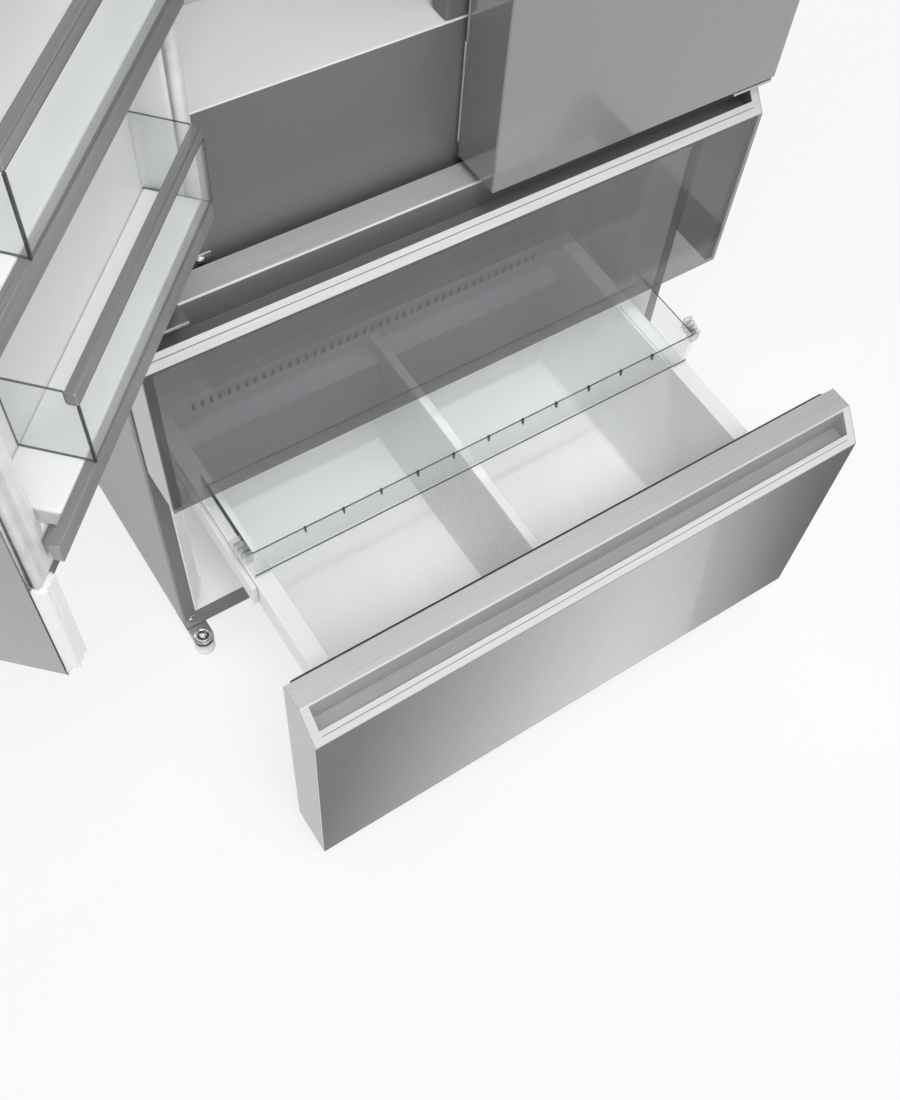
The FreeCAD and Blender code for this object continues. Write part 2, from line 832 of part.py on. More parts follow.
def make_door(name, side):
    """A hinged door: steel skin, foamed liner with a pocket, seal, shelves with guards and metal trims.

    Below the seal the door is a thin skirt that covers the beam. A full-depth rib stiffens its free edge.
    """
    pin_x = PIN_X if side > 0 else f"-{PIN_X}"
    height = (DOOR_LOW, DOOR_TOP)
    skin_back = f"({BACK} - 2 * steel)"
    lower_hole = (pin_x, PIN_Y, DOOR_LOW)
    upper_hole = (pin_x, PIN_Y, f"{DOOR_TOP} - pin_depth - steel")
    hole_length = "pin_depth + steel"

    def bores(label, radius):
        return [
            rod(f"{name}_{label}_low", "z", lower_hole, radius, hole_length),
            rod(f"{name}_{label}_high", "z", upper_hole, radius, hole_length),
        ]

    outside = block(f"{name}_skin_outside", across(side, DOOR_FREE, HALF), (FRONT, skin_back), height)
    inside = block(
        f"{name}_skin_inside",
        across(side, f"{DOOR_FREE} + steel", SKIN),
        (f"{FRONT} + steel", skin_back),
        (f"{DOOR_LOW} + steel", f"{DOOR_TOP} - steel"),
    )
    free_span = f"({DOOR_FREE} + free_rib)"
    under = block(
        f"{name}_skirt_room",
        across(side, free_span, HALF),
        (f"{FRONT} + skirt_thick", BACK),
        (DOOR_LOW, BODY_LOW),
    )
    skin = cut(f"{name}_skin_cut", outside, inside, under, *bores("skin_hole", "pin_radius + steel"))
    swung(f"{name}_door_skin", skin, side)

    core = block(
        f"{name}_core",
        across(side, f"{DOOR_FREE} + steel", SKIN),
        (f"{FRONT} + steel", BACK),
        (f"{DOOR_LOW} + steel", f"{DOOR_TOP} - steel"),
    )
    pocket_floor = f"({BACK} - pocket_deep)"
    pocket = (f"{DOOR_FREE} + dyke", f"{HALF} - dyke")
    recess = block(
        f"{name}_recess",
        across(side, *pocket),
        (pocket_floor, BACK),
        (SHELF_LOW, f"{DOOR_TOP} - dyke"),
    )
    seal_side = f"({DOOR_FREE} + door_seal_edge)"
    bumper = block(
        f"{name}_bumper",
        across(side, seal_side, f"{seal_side} + door_seal_width"),
        (BACK, "-2 * door_seal_play"),
        (f"{DOOR_LOW} + seal_inset", BODY_LOW),
    )
    padded = fuse(f"{name}_padded_core", core, bumper)
    liner = cut(f"{name}_liner_cut", padded, recess, under, *bores("bush", "pin_radius + pin_play"))
    swung(f"{name}_door_liner", liner, side)

    seal = ring(
        f"{name}_seal",
        across(side, seal_side, f"{HALF} - door_seal_inset"),
        (BACK, "-door_seal_play"),
        (DOOR_SEAL_LOW, f"{DOOR_TOP} - seal_inset"),
        "door_seal_width",
    )
    swung(f"{name}_door_gasket", seal, side)

    shelf_front = f"({BACK} + shelf_front)"
    guard_end = f"({pocket[1]} - guard_wall)"
    shelves = []
    guards = []
    trims = []
    for index in range(DOOR_SHELVES):
        low = f"({SHELF_LOW} + {index} * {SHELF_PITCH})"
        top = f"({low} + shelf_thick)"
        rail_low = f"({top} + guard_height - guard_rail)"
        shelves.append(
            block(
                f"{name}_shelf_{index}",
                across(side, f"{pocket[0]} + guard_wall", guard_end),
                (pocket_floor, shelf_front),
                (low, top),
            )
        )
        front = (shelf_front, f"{shelf_front} + trim_thick")
        shell = block(
            f"{name}_guard_outside_{index}",
            across(side, "guard_start", guard_end),
            (pocket_floor, front[1]),
            (top, f"{top} + guard_height"),
        )
        room = block(
            f"{name}_guard_inside_{index}",
            across(side, "guard_start + guard_wall", f"{guard_end} - guard_wall"),
            (pocket_floor, f"{front[1]} - guard_wall"),
            (top, f"{top} + guard_height"),
        )
        rail_seat = block(
            f"{name}_guard_rail_seat_{index}",
            across(side, "guard_start", guard_end),
            front,
            (rail_low, f"{top} + guard_height"),
        )
        guards.append(cut(f"{name}_guard_{index}", shell, room, rail_seat))
        trims.append(
            block(
                f"{name}_trim_{index}",
                across(side, "post_half + post_clear", guard_end),
                front,
                (low, top),
            )
        )
        trims.append(
            block(
                f"{name}_rail_{index}",
                across(side, "guard_start", guard_end),
                front,
                (rail_low, f"{rail_low} + guard_rail"),
            )
        )
    swung(f"{name}_door_shelves", group(f"{name}_shelf_set", shelves), side)
    swung(f"{name}_door_guards", group(f"{name}_guard_set", guards), side)
    swung(f"{name}_door_trims", group(f"{name}_trim_set", trims), side)


def handle_rail(label, top):
    """A full-width rail with a sloping face and a finger groove, closed at both ends."""
    body = DOC.addObject("PartDesign::Body", label)
    profile = outline(
        body,
        label + "_profile",
        "YZ_Plane",
        [
            (FRONT, f"{top} - slope_rise"),
            (f"{FRONT} + slope_run", top),
            (BACK, top),
            (BACK, f"{top} - rail_height"),
            (f"{FRONT} + panel_sheet", f"{top} - rail_height"),
            (f"{FRONT} + panel_sheet", f"{top} - slope_rise"),
        ],
    )
    pad = body.newObject("PartDesign::Pad", label + "_pad")
    pad.Profile = profile
    pad.SideType = "Symmetric"
    bind(pad, "Length", "width")
    # The groove opens through the slope, from a third of its length almost to its upper edge.
    groove = outline(
        body,
        label + "_groove_profile",
        "YZ_Plane",
        [
            (f"{FRONT} + slope_run * 0.3", f"{top} - slope_rise * 0.5"),
            (f"{FRONT} + slope_run * 0.85", f"{top} + slope_rise * 0.05"),
            (f"{FRONT} + slope_run * 0.96", f"{top} - slope_rise * 0.04"),
            (f"{FRONT} + slope_run", f"{top} - groove_deep"),
            (f"{FRONT} + slope_run * 0.45", f"{top} - groove_deep"),
        ],
    )
    DOC.recompute()
    pocket = body.newObject("PartDesign::Pocket", label + "_groove")
    pocket.Profile = groove
    pocket.SideType = "Symmetric"
    bind(pocket, "Length", "width - 2 * groove_end")
    return body


def slide_set(label, top, travel):
    """A pair of telescopic slides under a tub's rim: cabinet rail, middle member and drawer runner."""
    height = (f"{top} - slide_height", top)
    rails = []
    members = []
    runners = []
    step = "(slide_thick + slide_play)"
    for name, side in SIDES.items():
        start = "(2 * slide_step)"
        rails.append(
            block(
                f"{label}_rail_{name}",
                across(side, f"{INNER} - slide_thick", INNER),
                (start, f"{start} + {SLIDE_LENGTH}"),
                (height[0], f"{height[1]} - slide_play"),
            )
        )
        members.append(
            block(
                f"{label}_member_{name}",
                across(side, f"{INNER} - {step} - slide_thick", f"{INNER} - {step}"),
                ("slide_step", f"slide_step + {SLIDE_LENGTH}"),
                (f"{height[0]} + slide_play", f"{height[1]} - slide_play"),
            )
        )
        runners.append(
            block(
                f"{label}_runner_{name}",
                across(side, f"{INNER} - 2 * {step} - slide_thick", f"{INNER} - 2 * {step}"),
                (BACK, f"{BACK} + {SLIDE_LENGTH}"),
                height,
            )
        )
    pulled(f"{label}_slides", group(f"{label}_member_pair", members), f"{travel} / 2")
    pulled(f"{label}_runners", group(f"{label}_runner_pair", runners), travel)
    return rails


def make_tub(label, floor, rim_top, back, notched):
    """A moulded tub with leaning sides and a flat rim. The notch clears the hump over the machine bay."""
    top_half = f"({TUB_INNER} + tub_wall)"
    low_half = f"({top_half} - tub_taper)"
    low = f"({floor} - tub_wall)"
    shell = drafted(
        label + "_shell", (low, rim_top), (both(low_half), (BACK, back)), (both(top_half), (BACK, back))
    )
    rim = block(label + "_rim", both(TUB_HALF), (BACK, back), (f"{rim_top} - rim_thick", rim_top))
    room_span = (f"{BACK} + tub_wall", f"{back} - tub_wall")
    room = drafted(
        label + "_room",
        (floor, rim_top),
        (both(f"{low_half} - tub_wall"), room_span),
        (both(TUB_INNER), room_span),
    )
    body = fuse(label + "_body", shell, rim)
    if not notched:
        return cut(label + "_cut", body, room)
    gap = block(label + "_gap", both(TUB_HALF), (NOTCH_FRONT, back), (low, NOTCH_TOP))
    step = block(
        label + "_step",
        both(TUB_HALF),
        (f"{NOTCH_FRONT} - tub_wall", back),
        (low, f"{NOTCH_TOP} + tub_wall"),
    )
    return cut(label + "_cut", cut(label + "_outside", body, gap), cut(label + "_inside", room, step))


def slot_count(window, pitch, slot):
    """How many whole slots fit in a window, an odd number so that one is in the middle."""
    return int((window - slot) / pitch / 2) * 2 + 1


def make_lower_drawer():
    """The freezer drawer: front, seal, tub with its grille and divider, and the clear tray on its rim."""
    pulled(
        "freezer_front_panel",
        block(
            "freezer_sheet",
            both(HALF),
            (FRONT, f"{FRONT} + panel_sheet"),
            (LOWER_LOW, f"{LOWER_TOP} - slope_rise"),
        ),
        "freezer_open",
    )
    pulled(
        "freezer_front_body",
        block(
            "freezer_core",
            both(HALF),
            (f"{FRONT} + panel_sheet", BACK),
            (LOWER_LOW, f"{LOWER_TOP} - rail_height"),
        ),
        "freezer_open",
    )
    pulled("freezer_handle_rail", handle_rail("freezer_rail", LOWER_TOP), "freezer_open")
    seal = ring(
        "freezer_seal",
        both(f"{HALF} - seal_inset"),
        (BACK, SEAL_FACE),
        (f"{LOWER_LOW} + seal_inset", f"{LOWER_TOP} - seal_inset"),
        "seal_width",
    )
    pulled("freezer_gasket", seal, "freezer_open")

    tub = make_tub("freezer_tub", TUB_FLOOR, RIM_TOP, TUB_BACK, True)
    grille_half = f"({TUB_INNER} - grille_margin)"
    grille_span = (both(grille_half), (f"{TUB_BACK} - tub_wall", TUB_BACK))
    grille_top = f"({RIM_TOP} - grille_drop)"
    grille_low = f"({grille_top} - grille_height)"
    window = block("grille_window", *grille_span, (grille_low, grille_top))
    pulled("freezer_tub", cut("freezer_tub_window", tub, window), "freezer_open")

    plate = block("grille_plate", *grille_span, (grille_low, grille_top))
    slots = []
    size = DRIVING_SIZES
    side_room = size["wall"] + size["tub_side"] + size["rim_width"] + size["grille_margin"]
    window_width = size["width"] - 2 * side_room
    count = slot_count(window_width - 2 * size["tub_wall"], size["slot_pitch"], size["slot_width"])
    for index in range(count):
        middle = f"({index - count // 2} * slot_pitch)"
        slots.append(
            block(
                f"grille_slot_{index}",
                (f"{middle} - slot_width / 2", f"{middle} + slot_width / 2"),
                grille_span[1],
                (f"{grille_low} + tub_wall", f"{grille_top} - tub_wall"),
            )
        )
    pulled("tub_vent_grille", cut("grille_cut", plate, group("grille_slots", slots)), "freezer_open")

    wall = block(
        "divider_wall",
        both("divider_thick / 2"),
        (f"{BACK} + tub_wall", f"{TUB_BACK} - tub_wall"),
        (TUB_FLOOR, f"{RIM_TOP} - divider_drop"),
    )
    heel = block(
        "divider_heel",
        both("divider_thick"),
        (f"{NOTCH_FRONT} - tub_wall", TUB_BACK),
        (TUB_FLOOR, f"{NOTCH_TOP} + tub_wall"),
    )
    pulled("tub_divider", cut("divider_cut", wall, heel), "freezer_open")

    tray_low = f"({RIM_TOP} + slide_play + tray_runner)"
    tray_top = f"({tray_low} + tray_height)"
    tray_span = ("tray_place", "tray_place + tray_length")
    tray_half = f"({TUB_HALF} - tray_side)"
    outside = block("tray_outside", both(tray_half), tray_span, (tray_low, tray_top))
    room = block(
        "tray_room",
        both(f"{tray_half} - tray_wall"),
        (f"{tray_span[0]} + tray_wall", f"{tray_span[1]} - tray_wall"),
        (f"{tray_low} + tray_wall", tray_top),
    )
    rear_step = block(
        "tray_rear_step",
        both(f"{tray_half} - tray_wall"),
        (f"{tray_span[1]} - tray_wall", tray_span[1]),
        (f"{tray_top} - tray_rear_drop", tray_top),
    )
    additions = []
    for name, side in SIDES.items():
        additions.append(
            block(
                f"tray_runner_{name}",
                across(side, f"{TUB_INNER} + tub_wall", tray_half),
                tray_span,
                (f"{RIM_TOP} + slide_play", tray_low),
            )
        )
        additions.append(
            block(
                f"tray_clip_{name}",
                across(side, tray_half, f"{tray_half} + clip_out"),
                ("tray_place", "tray_place + clip_size"),
                (f"{tray_top} - clip_size", tray_top),
            )
        )
    tray = fuse("tray_fuse", cut("tray_cut", outside, room, rear_step), *additions)
    pulled("freezer_tray", tray, "freezer_open")


def make_middle_drawer():
    """The middle drawer: see-through front in a slim frame, seal and clear tub."""
    keep(
        "middle_front_glass",
        block(
            "middle_pane",
            both(HALF),
            (FRONT, f"{FRONT} + panel_sheet"),
            (MIDDLE_LOW, f"{MIDDLE_TOP} - slope_rise"),
        ),
    )
    keep("middle_handle_rail", handle_rail("middle_rail", MIDDLE_TOP))
    stiles = []
    strips = []
    rail_low = f"({MIDDLE_TOP} - rail_height)"
    seal_edge = (f"{HALF} - glass_stile + seal_play", f"{HALF} - seal_play")
    seal_top = f"({FLANGE_LOW} - seal_clear)"
    for name, side in SIDES.items():
        stiles.append(
            block(
                f"middle_stile_{name}",
                across(side, f"{HALF} - glass_stile", HALF),
                (f"{FRONT} + panel_sheet", BACK),
                (MIDDLE_LOW, rail_low),
            )
        )
        strips.append(
            block(
                f"middle_strip_{name}",
                across(side, *seal_edge),
                (BACK, SEAL_FACE),
                (MIDDLE_LOW, seal_top),
            )
        )
    strips.append(
        block(
            "middle_strip_top",
            both(seal_edge[1]),
            (BACK, SEAL_FACE),
            (f"{seal_top} - seal_inset", seal_top),
        )
    )
    keep("middle_stiles", group("middle_stile_pair", stiles))
    keep("middle_gasket", fuse("middle_seal", *strips))
    middle_back = f"({COVER_FACE} - middle_tub_gap)"
    keep(
        "middle_tub",
        make_tub("middle_tub", f"({MIDDLE_RIM} - middle_tub_deep)", MIDDLE_RIM, middle_back, False),
    )


def export_pieces():
    DOC.recompute()
    for item in DOC.Objects:
        if "Invalid" in item.State or "Error" in item.State:
            raise RuntimeError(f"{item.Label} failed: {item.State}")
    for item in PIECES:
        if item.Shape.isNull() or not item.Shape.isValid() or not item.Shape.Solids:
            raise RuntimeError(f"{item.Label} has no valid shape")
    os.makedirs("parts", exist_ok=True)
    for item in PIECES:
        item.Shape.exportStep(f"parts/{item.Label}.step")
    print(len(PIECES), "pieces written")


make_cabinet()
make_insides()
make_fridge_fittings()
make_cooling()
make_hinges()
make_feet()
for door_name, door_side in SIDES.items():
    make_door(door_name, door_side)
make_lower_drawer()
make_middle_drawer()
lower_rails = slide_set("freezer", f"({RIM_TOP} - rim_thick)", "freezer_open")
middle_rails = slide_set("middle", f"({MIDDLE_RIM} - rim_thick)", "0")
keep("drawer_rails", group("rail_set", lower_rails + middle_rails))
export_pieces()
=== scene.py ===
import json
import math

import bmesh
import bpy
from mathutils import Matrix, Vector


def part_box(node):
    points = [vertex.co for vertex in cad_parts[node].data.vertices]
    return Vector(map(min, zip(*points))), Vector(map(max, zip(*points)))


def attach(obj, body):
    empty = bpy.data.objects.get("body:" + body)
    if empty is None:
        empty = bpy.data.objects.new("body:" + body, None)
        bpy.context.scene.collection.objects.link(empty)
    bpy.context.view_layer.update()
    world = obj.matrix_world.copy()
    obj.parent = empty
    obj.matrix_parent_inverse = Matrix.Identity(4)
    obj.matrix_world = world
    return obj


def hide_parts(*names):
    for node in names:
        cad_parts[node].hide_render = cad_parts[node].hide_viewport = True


# A fridge freezer with two doors above two drawers: its finishes, rounded edges and small details.
# Metres, +Z up, the front looks along -Y.

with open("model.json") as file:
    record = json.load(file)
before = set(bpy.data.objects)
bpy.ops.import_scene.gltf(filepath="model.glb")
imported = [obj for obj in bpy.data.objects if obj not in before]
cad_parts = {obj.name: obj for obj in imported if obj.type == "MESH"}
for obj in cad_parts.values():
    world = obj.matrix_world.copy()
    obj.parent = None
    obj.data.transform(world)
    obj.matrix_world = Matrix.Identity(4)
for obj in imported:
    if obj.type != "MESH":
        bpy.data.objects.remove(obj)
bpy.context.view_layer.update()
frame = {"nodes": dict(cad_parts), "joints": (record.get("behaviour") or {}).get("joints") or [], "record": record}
SCENE = bpy.context.scene
NODES = frame["nodes"]
RECORD = frame["record"]
BODY_OF = {node: body for body, nodes in RECORD["behaviour"]["bodies"].items() for node in nodes}
SLOT_OF = {part["node"]: part["material_slot"] for part in RECORD["subparts"]}
HINGE = next(joint for joint in frame["joints"] if joint["name"] == "left_door_hinge")
MM = 0.001

# The left door's place: the right door mirrored, then turned open about the hinge pins
OPEN_TURN = -math.radians(HINGE["range_deg"][1])
PIN = Vector(HINGE["pos_m"])
SWING_OPEN = Matrix.Translation(PIN) @ Matrix.Rotation(OPEN_TURN, 4, "Z") @ Matrix.Translation(-PIN)
DOOR_PLACES = {"left": SWING_OPEN @ Matrix.Scale(-1, 4, (1, 0, 0)), "right": Matrix.Identity(4)}

# Sizes that a node's box doesn't give
SLOPE_RUN = 38 * MM
SLOPE_RISE = 47 * MM
GROOVE_END = 14 * MM
GROOVE_FRONT = 9.5 * MM
GROOVE_BACK = 41.8 * MM
SEAL_WIDTH = 16 * MM
DOOR_SEAL_WIDTH = 22 * MM
CAP_THICK = 1.2 * MM
SHELF_THICK = 5 * MM
SHELF_COUNT = 3


def low(node):
    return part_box(node)[0]


def high(node):
    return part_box(node)[1]


# Finishes


def shader_node(tree, kind, **inputs):
    """A shader node whose inputs, named in words, are set to a constant or linked to an output."""
    node = tree.nodes.new("ShaderNode" + kind)
    for words, value in inputs.items():
        socket = node.inputs[words.replace("_", " ")]
        if isinstance(value, bpy.types.NodeSocket):
            tree.links.new(value, socket)
        else:
            socket.default_value = value
    return node


class Finish:
    """A named finish: one shader with constants, and patterns that vary it over the surface."""

    def __init__(self, name, colour, roughness, **constants):
        self.material = bpy.data.materials.new(name)
        self.material.use_nodes = True
        self.tree = self.material.node_tree
        self.shader = self.tree.nodes["Principled BSDF"]
        self.shader.inputs["Base Color"].default_value = (*colour, 1)
        self.shader.inputs["Roughness"].default_value = roughness
        for words, value in constants.items():
            self.shader.inputs[words.replace("_", " ")].default_value = value

    def feed(self, socket, output):
        self.tree.links.new(output, self.shader.inputs[socket])

    def space(self, stretch, turn):
        """Object coordinates, turned with the piece and then stretched along its own axes."""
        place = shader_node(self.tree, "TexCoord").outputs["Object"]
        size = [1 / amount for amount in stretch]
        mapping = shader_node(self.tree, "Mapping", Vector=place, Rotation=(0, 0, turn), Scale=size)
        mapping.vector_type = "TEXTURE"
        return mapping.outputs["Vector"]

    def grain(self, scale, stretch=(1, 1, 1), turn=0.0, detail=3.0):
        """Soft noise with features about 1 / scale metres wide."""
        place = self.space(stretch, turn)
        return shader_node(self.tree, "TexNoise", Vector=place, Scale=scale, Detail=detail).outputs["Fac"]

    def spangle(self, scale):
        """Crystal patches, each of one value."""
        cells = shader_node(self.tree, "TexVoronoi", Vector=self.space((1, 1, 1), 0.0), Scale=scale)
        return shader_node(self.tree, "RGBToBW", Color=cells.outputs["Color"]).outputs["Val"]

    def facing(self, blend):
        """Zero where the surface is seen square on, rising to one at a glancing angle."""
        return shader_node(self.tree, "LayerWeight", Blend=blend).outputs["Facing"]

    def ranged(self, value, start, end, least=0.3, most=0.7):
        limits = {"From_Min": least, "From_Max": most, "To_Min": start, "To_Max": end}
        return shader_node(self.tree, "MapRange", Value=value, **limits).outputs["Result"]

    def tint(self, value, dark, light):
        mix = shader_node(self.tree, "Mix")
        mix.data_type = "RGBA"
        colours = [socket for socket in mix.inputs if socket.type == "RGBA"]
        colours[0].default_value = (*dark, 1)
        colours[1].default_value = (*light, 1)
        self.tree.links.new(self.ranged(value, 0, 1), mix.inputs[0])
        self.feed("Base Color", next(socket for socket in mix.outputs if socket.type == "RGBA"))

    def rough(self, value, smooth, coarse):
        self.feed("Roughness", self.ranged(value, smooth, coarse))

    def bump(self, value, height):
        bumps = shader_node(self.tree, "Bump", Strength=1.0, Distance=height, Height=value)
        self.feed("Normal", bumps.outputs["Normal"])

    def sheer(self, value, square_on, glancing):
        """See-through square on, and closing up at a glancing angle."""
        self.feed("Alpha", self.ranged(value, square_on, glancing, 0, 1))


def grey(level, warm=0.0):
    return (level + warm, level, level - warm)


def mottled(name, colours, roughness, scales, height):
    """A coat or a moulding, from (base, dark, light) colours and (base, least, most) roughness."""
    finish = Finish(name, colours[0], roughness[0])
    finish.tint(finish.grain(scales[0]), *colours[1:])
    finish.rough(finish.grain(scales[1]), *roughness[1:])
    finish.bump(finish.grain(scales[2], detail=2), height)
    return finish.material


def painted(name, level, warm, gloss):
    """Sprayed steel with a fine orange-peel surface."""
    colours = [grey(level * share, warm) for share in (1, 0.985, 1.015)]
    return mottled(name, colours, (gloss, gloss * 0.9, gloss * 1.12), (9, 140, 420), 0.05 * MM)


def soft_seal(name, level):
    """Soft seal: matt, slightly mottled."""
    colours = [grey(level * share) for share in (1, 0.9, 1.08)]
    return mottled(name, colours, (0.62, 0.55, 0.72), (35, 120, 900), 0.04 * MM)


def white_plastic():
    """Moulded white plastic with a fine satin grain."""
    colours = [(0.86, 0.87, 0.875), (0.84, 0.85, 0.855), (0.875, 0.883, 0.888)]
    return mottled("white_plastic", colours, (0.36, 0.3, 0.42), (7, 60, 1100), 0.02 * MM)


def dark_plastic():
    """Dark moulded plastic with a spark-eroded grain."""
    colours = [grey(level) for level in (0.045, 0.038, 0.055)]
    return mottled("dark_plastic", colours, (0.5, 0.42, 0.6), (30, 80, 1300), 0.05 * MM)


def front_grey():
    """Grey coated steel with a fine flake under a clear glossy coat."""
    gloss = {"Coat_Weight": 1.0, "Coat_Roughness": 0.05, "Coat_IOR": 1.7}
    coat = Finish("front_grey", (0.20, 0.20, 0.215), 0.3, **gloss)
    flake = coat.grain(2600, detail=1)
    coat.tint(flake, (0.185, 0.185, 0.2), (0.215, 0.215, 0.23))
    coat.rough(coat.grain(40), 0.28, 0.33)
    return coat.material


def brushed(name, level, metallic, roughness, turn):
    """Metal brushed along the length of the piece."""
    metal = Finish(name, grey(level), roughness, Metallic=metallic)
    streaks = metal.grain(60, (0.12, 22, 22), turn, detail=5)
    metal.tint(streaks, grey(level * 0.86), grey(level * 1.08))
    metal.rough(metal.grain(90, (0.1, 26, 26), turn), roughness * 0.77, roughness * 1.23)
    metal.bump(streaks, 0.03 * MM)
    return metal.material


def zinc_steel():
    """Galvanised sheet with a faint crystal pattern."""
    zinc = Finish("zinc_steel", grey(0.52), 0.42, Metallic=0.9)
    crystals = zinc.spangle(160)
    zinc.tint(crystals, grey(0.50), (0.545, 0.55, 0.555))
    zinc.rough(crystals, 0.38, 0.46)
    zinc.bump(zinc.grain(300), 0.02 * MM)
    return zinc.material


def see_through(name, colour, square_on, glancing, roughness):
    """Clear moulding: nearly invisible square on, brighter at a glancing angle."""
    clear = Finish(name, colour, roughness, IOR=1.5)
    clear.sheer(clear.facing(0.35), square_on, glancing)
    clear.rough(clear.grain(30), roughness * 0.7, roughness * 1.4)
    clear.bump(clear.grain(22, detail=1), 0.05 * MM)
    return clear.material


def smoked_glass():
    """A tinted glossy pane: what is behind it shows through dimly."""
    smoke = Finish("smoked_glass", (0.15, 0.15, 0.16), 0.06, IOR=1.48, Alpha=0.55)
    smoke.tint(smoke.grain(5), (0.145, 0.145, 0.155), (0.155, 0.155, 0.165))
    smoke.rough(smoke.grain(25), 0.04, 0.09)
    return smoke.material


def chrome_metal():
    """Bright plating with fine handling marks."""
    chrome = Finish("chrome_metal", grey(0.72), 0.14, Metallic=1.0)
    chrome.tint(chrome.grain(50), grey(0.66), grey(0.76))
    chrome.rough(chrome.grain(240, (1, 0.2, 1)), 0.08, 0.22)
    return chrome.material


def foam():
    """Rigid foam with open cells."""
    cells = Finish("foam", (0.80, 0.74, 0.52), 0.9)
    cells.tint(cells.grain(90), (0.74, 0.67, 0.44), (0.84, 0.79, 0.58))
    cells.rough(cells.grain(200), 0.8, 1.0)
    cells.bump(cells.spangle(500), 0.3 * MM)
    return cells.material


# Sprayed steel: level of grey, warmth, roughness
PAINTS = {
    "cabinet_grey": (0.30, 0.008, 0.42),
    "cap_grey": (0.49, 0.004, 0.38),
    "frame_grey": (0.155, 0.0, 0.4),
    "white_paint": (0.8, 0.0, 0.35),
    "black_paint": (0.03, 0.0, 0.3),
}
# Brushed metal: level of grey, share of metal, roughness, turn of the brushing
BRUSHED = {
    "brushed_rail": (0.70, 0.5, 0.42, 0.0),
    # Painted shade inside the lower finger groove, and deeper painted shade inside the upper one under the doors
    "groove_shade_metal": (0.42, 0.3, 0.34, 0.0),
    "shaded_groove": (0.2, 0.3, 0.34, 0.0),
    "metal_trim": (0.34, 0.7, 0.34, 0.0),
    # Brushed along the open door
    "open_door_trim": (0.34, 0.7, 0.34, OPEN_TURN),
    "heat_fins": (0.62, 0.95, 0.34, 0.0),
}
# Clear mouldings and glass: colour, cover seen square on and at a glancing angle, roughness
CLEAR = {
    "clear_plastic": ((0.78, 0.81, 0.82), 0.04, 0.34, 0.08),
    # Thin clear plastic that hardly shows
    "faint_plastic": ((0.80, 0.83, 0.84), 0.01, 0.09, 0.08),
    # Thick clear mouldings, milky where they curve
    "clear_knob": ((0.72, 0.74, 0.75), 0.25, 0.75, 0.06),
    # Painted shade on the cut edge of clear plastic, where light bends
    "clear_edge_shade": ((0.10, 0.105, 0.11), 0.62, 0.85, 0.12),
    # A corner of clear plastic, painted almost black as the shade where light bends
    "dark_edge_shade": ((0.035, 0.037, 0.04), 0.8, 0.92, 0.12),
    "clear_glass": ((0.74, 0.84, 0.82), 0.12, 0.6, 0.05),
    "glass_edge": ((0.16, 0.34, 0.30), 0.7, 0.9, 0.1),
}
# Soft seals: level of grey
SEALS = {"seal_grey": (0.045,), "seal_white": (0.74,)}

FINISHES = {}
for make in (front_grey, zinc_steel, white_plastic, smoked_glass, chrome_metal, foam, dark_plastic):
    FINISHES[make.__name__] = make()
for make, table in ((painted, PAINTS), (brushed, BRUSHED), (see_through, CLEAR), (soft_seal, SEALS)):
    for name, values in table.items():
        FINISHES[name] = make(name, *values)


# Meshes and pieces

EDGE_ANGLE = math.radians(28)
FLAT_ANGLE = math.radians(0.5)
WELD_GAP = 1e-6
NARROW_FACE = 6 * MM
ROUNDED_SHARE = 0.42
UPRIGHT_LIMIT = 0.5


def placed(name, data, hidden_from=()):
    """A new object in the scene, hidden from some kinds of rays."""
    thing = bpy.data.objects.new(name, data)
    SCENE.collection.objects.link(thing)
    for rays in hidden_from:
        setattr(thing, f"visible_{rays}", False)
    return thing


def as_mesh(shape, name="shape"):
    mesh = bpy.data.meshes.new(name)
    shape.to_mesh(mesh)
    shape.free()
    return mesh


def add_piece(name, mesh, body, slot, nodes=(), finishes=None):
    """Puts a finished mesh into the scene, on its body, in place of the nodes that it stands for."""
    piece = placed(name, mesh)
    for finish in finishes or [slot]:
        mesh.materials.append(FINISHES[finish])
    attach(piece, body)
    if nodes:
        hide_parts(*nodes)


def final_mesh(holder):
    """The mesh that an object's modifiers make. The object itself goes."""
    graph = bpy.context.evaluated_depsgraph_get()
    mesh = bpy.data.meshes.new_from_object(holder.evaluated_get(graph))
    bpy.data.objects.remove(holder)
    return mesh


def settled(shape, radius=0.0, steps=2, weighted=False):
    """A plain mesh from a bmesh, with rounded edges and flat faces shaded flat."""
    for face in shape.faces:
        face.smooth = True
    holder = placed("shape", as_mesh(shape))
    if radius:
        bevel = holder.modifiers.new("rounding", "BEVEL")
        bevel.width = radius
        bevel.segments = steps
        bevel.limit_method = "WEIGHT" if weighted else "ANGLE"
        bevel.angle_limit = EDGE_ANGLE
        bevel.use_clamp_overlap = not weighted
    normals = holder.modifiers.new("normals", "WEIGHTED_NORMAL")
    normals.keep_sharp = True
    return final_mesh(holder)


def welded(node):
    """A copy of a node's mesh with its triangles joined into whole flat faces."""
    shape = bmesh.new()
    shape.from_mesh(NODES[node].data)
    bmesh.ops.remove_doubles(shape, verts=shape.verts[:], dist=WELD_GAP)
    bmesh.ops.dissolve_limit(shape, angle_limit=FLAT_ANGLE, verts=shape.verts[:], edges=shape.edges[:])
    return shape


def spare_width(edge):
    """How wide the narrower of an edge's two faces is, measured away from the edge."""
    length = max(edge.calc_length(), WELD_GAP)
    return min(face.calc_area() / length for face in edge.link_faces)


def is_narrow(face):
    longest = max(edge.calc_length() for edge in face.edges)
    return face.calc_area() / longest < NARROW_FACE


def is_upright(face):
    return abs(face.normal.z) < UPRIGHT_LIMIT


